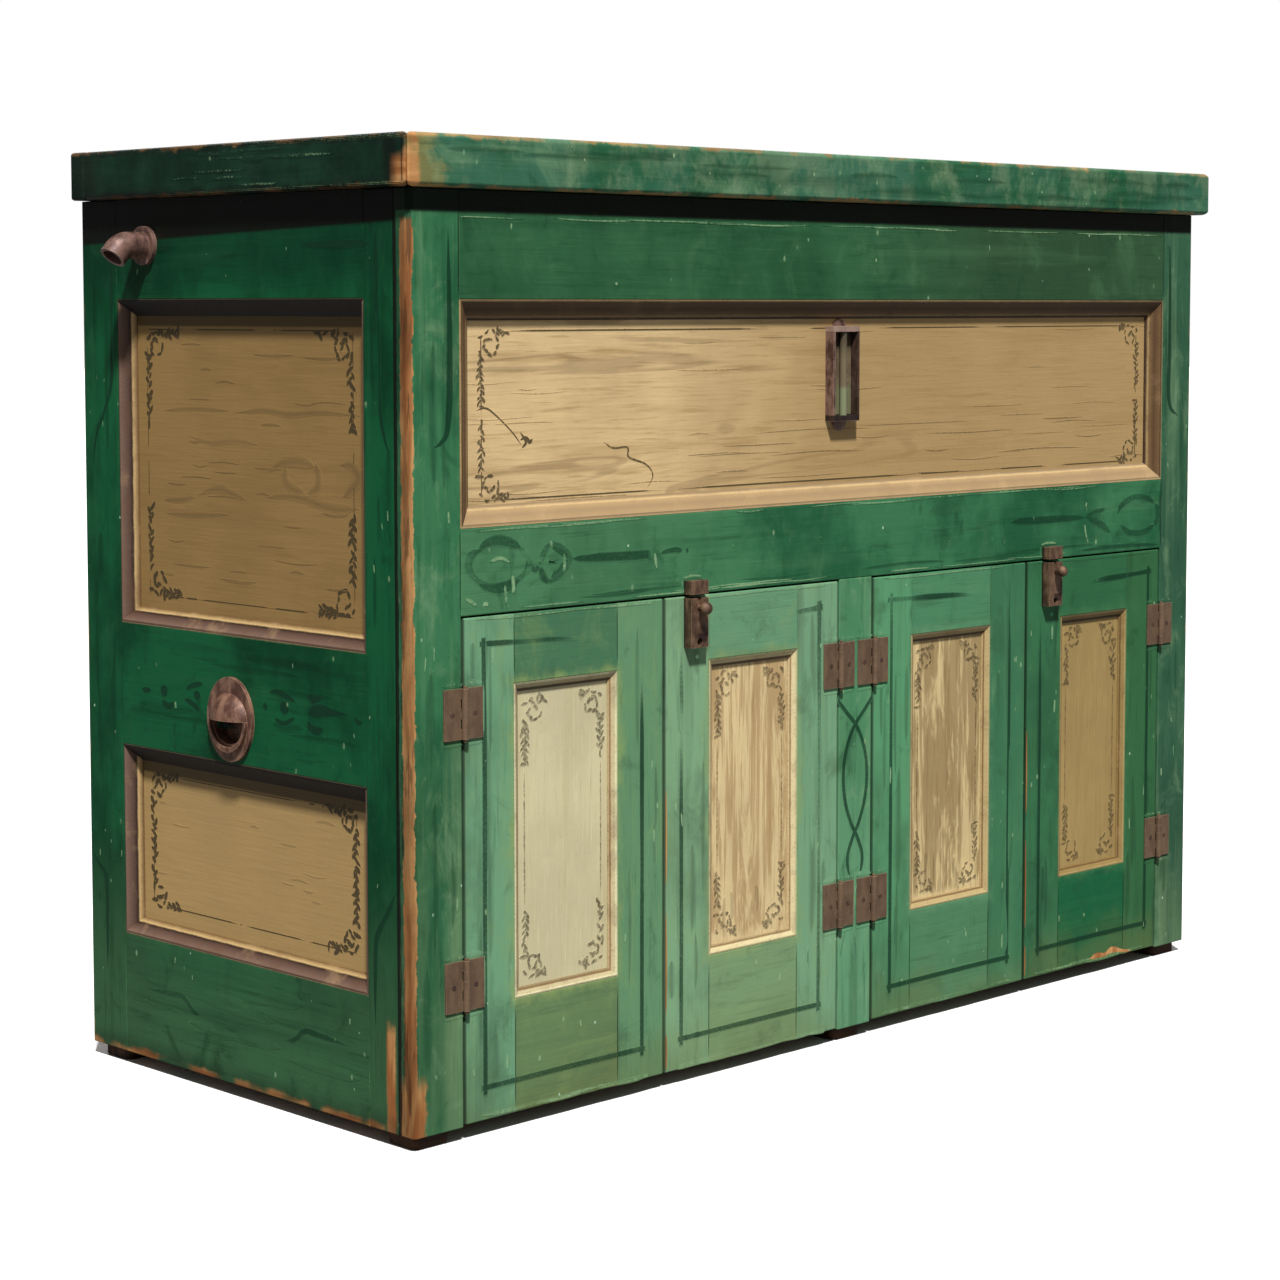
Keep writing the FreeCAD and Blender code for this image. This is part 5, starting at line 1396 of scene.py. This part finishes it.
class CABINET_OT_lid(bpy.types.Operator):
    """Finish the lid: mitred rim, boards, joint lines and worn edges"""

    bl_idname = "cabinet.lid"
    bl_label = "Lid"

    def execute(self, context):
        inks = context.scene.cabinet_colours
        draw = np.random.default_rng(41)
        low, high = span("lid_rim_front")
        x0, x1, y0, z0, z1 = low[0], high[0], low[1], low[2], high[2]
        ends = span("lid_rim_left")
        back = ends[1][1]

        def rim_bare(f):
            wave = f.wave(16.0, 24, (1, 1, 1), 4, 0.65)
            rows = f.most(f.step(f.plus(f.z, wave), z1 - 5, z1 - 1),
                          f.step(f.plus(f.z, wave), z0 + 3, z0))
            near = f.times(f.band(f.plus(f.x, wave), x0 - 20, x0 + 16, 3),
                           f.step(f.y, y0 + 26, y0 + 18))
            worn = f.times(f.most(f.times(rows, 0.55), near),
                           f.step(f.noise(50, (1, 1, 1), 2), 0.42, 0.56))
            within = f.times(f.band(f.x, x0 + 21.4, x1 - 21.4, 0.2),
                             f.band(f.y, y0 + 21.4, back - 21.4, 0.2))
            return f.most(worn, within)

        def front_tone(f, colour):
            thin = f.step(f.noise(48, (1, 1, 0.6), 5, 0.7, shift=6.2), 0.46, 0.62)
            colour = f.over(colour, srgb(104, 128, 98), thin, 0.6)
            wave = f.wave(80, 26, (0.6, 1, 1), 5, 0.74)
            near = f.step(f.plus(f.x, wave), 36, 18)
            return f.over(colour, srgb(134, 122, 70), near, 0.7)

        def end_dirt(f):
            wave = f.wave(12, 18, (1, 1, 1), 3, 0.6)
            rows = f.most(f.step(f.plus(f.z, wave), z0 + 10, z0 + 2),
                          f.step(f.plus(f.z, wave), z1 - 9, z1 - 4))
            near = f.band(f.plus(f.y, wave), y0 + 16, y0 + 34, 5)
            far = f.step(f.plus(f.y, wave), back - 40, back - 8)
            return f.times(f.most(rows, near, far), 0.62)

        front = painted("lid_front_paint", inks.lid_light, inks.front_dark, "x", front_tone,
                        rim_bare)
        side = painted("lid_end_paint", inks.lid_dark, scaled(inks.lid_dark, 0.5), "y",
                       None, rim_bare, end_dirt, 0.4, srgb(70, 92, 78))

        def underside(f):
            return f.step(f.z, z1 - 6, z1 - 7)

        def old_wood(f):
            return f.times(underside(f),
                           f.step(f.noise(60, GRAIN["x"], 4, 0.6), 0.3, 0.75, 0.3, 0.52))

        boards = painted("lid_top_paint", inks.lid_light, inks.lid_dark, "x", None, underside,
                         old_wood, 1.0)
        softened("lid_rim_front", front, "lid_paint", 0.004)
        softened("lid_rim_back", side, "lid_paint", 0.003)
        softened("lid_rim_left", side, "lid_paint", 0.004)
        softened("lid_rim_right", side, "lid_paint", 0.004)
        softened("lid_boards", boards, "lid_paint")
        face = face_of("lid_rim_front", "front")
        lines = smears(x0 + 10, x1 - 10, z0 + 8, z1 - 8, 18, draw, level=True, shade=0.6,
                       width=(5, 14))
        lines += drips(x0 + 8, x1 - 8, z0 + 12, z1 - 4, 12, draw, size=(2, 6))
        film("lid_front_wear", face, lines, front, "lid_paint", "lid")
        for name in ("left", "right"):
            face = face_of(f"lid_rim_{name}", name)
            lines = smears(y0 + 20, back - 20, z0 + 8, z1 - 8, 10, draw, level=True, thin=0.6,
                           width=(3, 8))
            lines += [mark([(y0 + 6, z1 - 3), (y0 + 6.5, z0 + 24), (y0 + 6, z0 + 2)], 2.4,
                           soil=0.8,
                           taper="none")]
            film(f"lid_{name}_wear", face, lines, side, "lid_paint", "lid")
        face = face_of("lid_boards", "top")
        lines = smears(40, 1210, 20, 500, 40, draw, level=True, thin=0.6, length=(60, 240))
        lines += smears(40, 1210, 20, 500, 22, draw, level=True, shade=0.6, length=(60, 200))
        film("lid_top_wear", face, lines, boards, "lid_paint", "lid")
        return {"FINISHED"}


class CABINET_OT_carcass(bpy.types.Operator):
    """Finish the boards inside, the back, the feet and the zinc tank"""

    bl_idname = "cabinet.carcass"
    bl_label = "Inside, back and feet"

    def execute(self, context):
        inks = context.scene.cabinet_colours
        draw = np.random.default_rng(51)
        inner = unpainted("inner_board_wood", inks.inner_light, inks.inner_dark, "x")
        upright = unpainted("back_board_wood", srgb(164, 138, 106), srgb(134, 110, 80), "z")
        dress(inner, "floor_boards", "tank_deck")
        dress(upright, "centre_partition", "back_boards")
        feet = unpainted("foot_wood", srgb(96, 66, 46), srgb(50, 34, 26), "x")
        for node in ("front_feet", "back_feet"):
            softened(node, feet, "foot_wood", 0.002)
        f = Finish("tank_zinc")
        cloud = f.noise(60, (1, 1, 1), 4, 0.6)
        spangle = f.make("ShaderNodeTexVoronoi", Vector=f.spread(9, (1, 1, 1)), Scale=1.0)
        shade = f.make("ShaderNodeSeparateColor", Color=spangle.outputs["Color"]).outputs[0]
        colour = f.over(scaled(inks.zinc, 0.6), inks.zinc, f.step(cloud, 0.35, 0.65))
        colour = f.over(colour, srgb(196, 204, 206), shade, 0.25)
        # Painted shade: the zinc darkens towards the tank's inner corners and edges.
        colour = f.over(colour, scaled(inks.zinc, 0.18), f.arris(14), 0.8)
        stain = f.times(f.step(f.z, 760, 560), f.step(f.noise(70, (1, 1, 0.4), 4, 0.6), 0.45, 0.6))
        colour = f.over(colour, srgb(96, 92, 78), stain, 0.5)
        zinc = f.close(colour, f.plus(0.38, f.times(cloud, 0.25)), cloud, 0.5, Metallic=0.6)
        dress(zinc, "tank_liner")
        face = face_of("back_boards", "back")
        low, high = span("back_boards")
        seams = []
        for x in np.linspace(low[0], high[0], 8)[1:-1]:
            seams.append(mark([(x, low[2] + 4), (x + 0.8, 450), (x, high[2] - 4)], 2.4, soil=0.95,
                              taper="none", steps=12, soft=0.3))
            for z in (low[2] + 14, 452, high[2] - 14):
                for beside in (-18, 18):
                    nail = draw.uniform(-2, 2, 2) + (x + beside, z)
                    seams.append(mark([nail - (2.4, 0), nail + (2.4, 0)], 5.0, soil=0.9, steps=3,
                                      soft=0.5))
        seams += smears(low[0] + 30, high[0] - 30, 60, 850, 30, draw, length=(80, 300), soil=0.25)
        film("back_board_seams", face, seams, upright, "inner_wood", "cabinet")
        return {"FINISHED"}


class CABINET_OT_fittings(bpy.types.Operator):
    """Finish hinges, catches, lift handles and pipe, and slotted screws on the hinges"""

    bl_idname = "cabinet.fittings"
    bl_label = "Ironwork"

    def execute(self, context):
        inks = context.scene.cabinet_colours
        plate = metal("hinge_iron", inks.iron, inks.iron_dark, 0.62, 0.2, 0.8, True)

        def catch_tone_and_shade(f, colour):
            base = f.step(f.y, -3.4, -1.4, 0.0, 0.9)
            across = f.most(*(f.band(f.x, x + 10, x + 22.4, 0.6) for x in CATCHES.values()))
            well = f.times(across, f.band(f.z, 446, 455, 0.6), f.step(f.y, -9.5, -10.5, 0.0, 0.85))
            # Painted contact shade: the casting goes near black towards the door's face.
            colour = f.over(colour, srgb(26, 16, 10), base)
            return f.over(colour, srgb(36, 12, 10), well)

        casting = metal("catch_iron", srgb(118, 90, 68), srgb(66, 44, 30), 0.6, 0.2, 1.4,
                        tone=catch_tone_and_shade)
        pipe = metal("pipe_iron", srgb(132, 100, 88), srgb(80, 56, 50), 0.5, 0.35, 0.8)
        cup = metal("handle_iron", srgb(140, 104, 84), srgb(84, 54, 42), 0.55, 0.25)
        dress(plate, "lid_hinge_fixed_leaves", "lid_hinge_leaves", "door_hinge_fixed_leaves")
        dress(plate, *(f"door_{number}_hinge_leaves" for number in DOORS))
        dress(casting, "left_catch_keeper", "right_catch_keeper", "left_catch_housing",
              "right_catch_housing", "left_catch_bolt", "right_catch_bolt")
        dress(pipe, "drain_spout")
        dress(cup, "left_lift_handle", "right_lift_handle")
        heads = metal("screw_iron", srgb(84, 60, 46), srgb(44, 30, 24), 0.6, 0.2, 0.8)
        for side, bodies in ((-1, ["cabinet"] * 4), (1, [f"door_{number}" for number in DOORS])):
            for number, ((pin, way), body) in enumerate(zip(HINGE_PINS, bodies), 1):
                places = []
                for low, high in HINGE_HEIGHTS:
                    middle = (pin + side * way * SCREW_FROM_PIN, -LEAF_THICK, (low + high) / 2)
                    turn = math.radians(20 + 50 * number + low)
                    centre = np.array((LEFT, FRONT, BOTTOM)) + MM * np.array(middle)
                    places.append((centre, (math.cos(turn), 0.0, math.sin(turn)),
                                   (0.0, -1.0, 0.0)))
                kind = "fixed" if side < 0 else "door"
                screws(f"{kind}_leaf_screws_{number}", places, heads, "iron", body)
        return {"FINISHED"}


class CABINET_OT_thermometer(bpy.types.Operator):
    """Finish the thermometer: case, scale with its divisions, and the glass tube"""

    bl_idname = "cabinet.thermometer"
    bl_label = "Thermometer"

    def execute(self, context):
        low, high = span("thermometer_case")

        def case_shade_and_highlight(f, colour):
            # Painted shade on the right wall of the case.
            wall_shade = f.times(f.step(f.x, high[0] - 3.6, high[0] - 3.0),
                           f.step(f.noise(20), 0.3, 0.6, 0.6, 0.9))
            # Painted shade: a near black band across the case's bottom bar.
            foot = f.band(f.z, low[2] + 11.2, low[2] + 17.2, 0.3)
            colour = f.over(colour, srgb(44, 28, 16), wall_shade)
            colour = f.over(colour, srgb(18, 8, 6), foot, 0.9)
            # Painted highlight: a pale band across the top bar.
            return f.over(colour, srgb(186, 158, 140), f.band(f.z, 762.4, 768.2, 0.3), 0.55)

        case = metal("thermometer_case_paint", srgb(132, 104, 92), srgb(66, 44, 38), 0.5, 0.15,
                     tone=case_shade_and_highlight)
        dress(case, "thermometer_case")
        f = Finish("thermometer_scale_enamel")
        cloud = f.noise(14, (1, 1, 1), 4, 0.6)
        colour = f.over(srgb(96, 82, 62), srgb(124, 108, 84), f.step(cloud, 0.35, 0.7))
        colour = f.over(colour, srgb(112, 114, 84), f.step(f.z, 712, 698, 0.0, 0.8))
        # Painted shadow of the case's top bar over the upper end of the scale.
        colour = f.over(colour, srgb(40, 30, 24), f.step(f.z, 730, 756, 0.0, 0.8))
        ink = f.marks()[0]
        colour = f.over(colour, srgb(36, 34, 30), ink)
        scale = f.close(colour, 0.35, cloud, 0.2)
        dress(scale, "thermometer_scale")
        f = Finish("thermometer_glass")
        colour = f.over(srgb(112, 100, 78), srgb(124, 130, 98), f.step(f.z, 704, 700))
        # Painted shadow of the case's top bar over the upper end of the tube.
        colour = f.over(colour, srgb(52, 42, 34), f.step(f.z, 730, 756, 0.0, 0.6))
        tube = f.close(colour, 0.3, None, Specular_IOR_Level=0.3)
        dress(tube, "thermometer_tube")
        face = face_of("thermometer_scale", "front")
        low, high = span("thermometer_scale")
        ticks = []
        middle = (low[0] + high[0]) / 2
        for step, z in enumerate(np.linspace(low[2] + 10, high[2] - 8, 25)):
            long = 6.5 if step % 4 == 0 else 3.5
            for way in (-1, 1):
                start = middle + way * 5.6
                ticks.append(mark([(start, z), (start + way * long, z)], 0.7, ink=1.0, steps=2,
                                  taper="none"))
        film("thermometer_divisions", face, ticks, scale, "scale_enamel", "cabinet")
        return {"FINISHED"}


class CABINET_OT_stage(bpy.types.Operator):
    """Set the pale floor, the soft light and the camera"""

    bl_idname = "cabinet.stage"
    bl_label = "Floor, light and camera"

    def execute(self, context):
        scene = context.scene
        scene.view_settings.view_transform = "Standard"
        mesh = bpy.data.meshes.new("floor")
        reach = 30.0
        corners = [(-reach, -reach, 0), (reach, -reach, 0), (reach, reach, 0), (-reach, reach, 0)]
        mesh.from_pydata(corners, [], [(0, 1, 2, 3)])
        floor = bpy.data.objects.new("floor", mesh)
        scene.collection.objects.link(floor)
        material = bpy.data.materials.new("floor_pale")
        material.use_nodes = True
        tree = material.node_tree
        shader = tree.nodes["Principled BSDF"]
        shader.inputs["Roughness"].default_value = 1.0
        shader.inputs["Specular IOR Level"].default_value = 0.0
        seen = tree.nodes.new("ShaderNodeLightPath")
        tone = tree.nodes.new("ShaderNodeMix")
        tone.data_type = "RGBA"
        tone.inputs[6].default_value = (0.2, 0.2, 0.2, 1)
        tone.inputs[7].default_value = (0.95, 0.95, 0.95, 1)
        tree.links.new(seen.outputs["Is Camera Ray"], tone.inputs[0])
        tree.links.new(tone.outputs[2], shader.inputs["Base Color"])
        mesh.materials.append(material)

        world = bpy.data.worlds.new("studio")
        scene.world = world
        world.use_nodes = True
        tree = world.node_tree
        sky = tree.nodes["Background"]
        sky.inputs["Color"].default_value = (1, 1, 1, 1)
        seen = tree.nodes.new("ShaderNodeLightPath")
        either = tree.nodes.new("ShaderNodeMath")
        either.operation = "MAXIMUM"
        tree.links.new(seen.outputs["Is Camera Ray"], either.inputs[0])
        tree.links.new(seen.outputs["Is Transmission Ray"], either.inputs[1])
        strength = tree.nodes.new("ShaderNodeMapRange")
        strength.inputs["To Min"].default_value = 0.15
        strength.inputs["To Max"].default_value = 1.0
        tree.links.new(either.outputs[0], strength.inputs["Value"])
        tree.links.new(strength.outputs[0], sky.inputs["Strength"])

        for name, power, spread, aim in (
            ("key", 5.3, 5, (0.33, 0.45, -0.83)),
            ("back_fill", 1.1, 40, (-0.6, -0.7, -0.38)),
        ):
            lamp = bpy.data.lights.new(name, "SUN")
            lamp.energy = power
            lamp.angle = math.radians(spread)
            sun = bpy.data.objects.new(name, lamp)
            sun.rotation_mode = "QUATERNION"
            sun.rotation_quaternion = Vector(aim).to_track_quat("-Z", "Y")
            scene.collection.objects.link(sun)

        lens = bpy.data.cameras.new("camera")
        lens.lens = 82.15
        lens.sensor_width = 36
        lens.shift_y = -0.0884
        lens.clip_end = 100
        camera = bpy.data.objects.new("camera", lens)
        camera.location = (-2.3667, -2.3458, 0.8031)
        camera.rotation_euler = tuple(math.radians(turn) for turn in (85.689, 0.038, -44.578))
        scene.collection.objects.link(camera)
        scene.camera = camera
        return {"FINISHED"}


PIECES = (
    CABINET_OT_front, CABINET_OT_ends, CABINET_OT_doors, CABINET_OT_long_panel, CABINET_OT_lid,
    CABINET_OT_carcass, CABINET_OT_fittings, CABINET_OT_thermometer, CABINET_OT_stage,
)


class CABINET_PT_finish(bpy.types.Panel):
    """Lists the cabinet's settings and the steps that finish it"""

    bl_label = "Dry Sink Cabinet"
    bl_space_type = "VIEW_3D"
    bl_region_type = "UI"
    bl_category = "Cabinet"

    def draw(self, context):
        column = self.layout.column()
        for group in (context.scene.cabinet_sizes, context.scene.cabinet_colours):
            for name in group.__annotations__:
                column.prop(group, name)
        for piece in PIECES:
            column.operator(piece.bl_idname)


CLASSES = (CabinetSizes, CabinetColours, *PIECES, CABINET_PT_finish)


def register():
    """Add the settings, the steps and the panel."""
    for kind in CLASSES:
        bpy.utils.register_class(kind)
    bpy.types.Scene.cabinet_sizes = bpy.props.PointerProperty(type=CabinetSizes)
    bpy.types.Scene.cabinet_colours = bpy.props.PointerProperty(type=CabinetColours)


def unregister():
    """Take the settings, the steps and the panel away."""
    del bpy.types.Scene.cabinet_colours
    del bpy.types.Scene.cabinet_sizes
    for kind in reversed(CLASSES):
        bpy.utils.unregister_class(kind)


def main():
    """Run every step in order."""
    register()
    for piece in PIECES:
        step = piece.bl_idname.split(".")[1]
        getattr(bpy.ops.cabinet, step)()


if __name__ == "__main__":
    main()
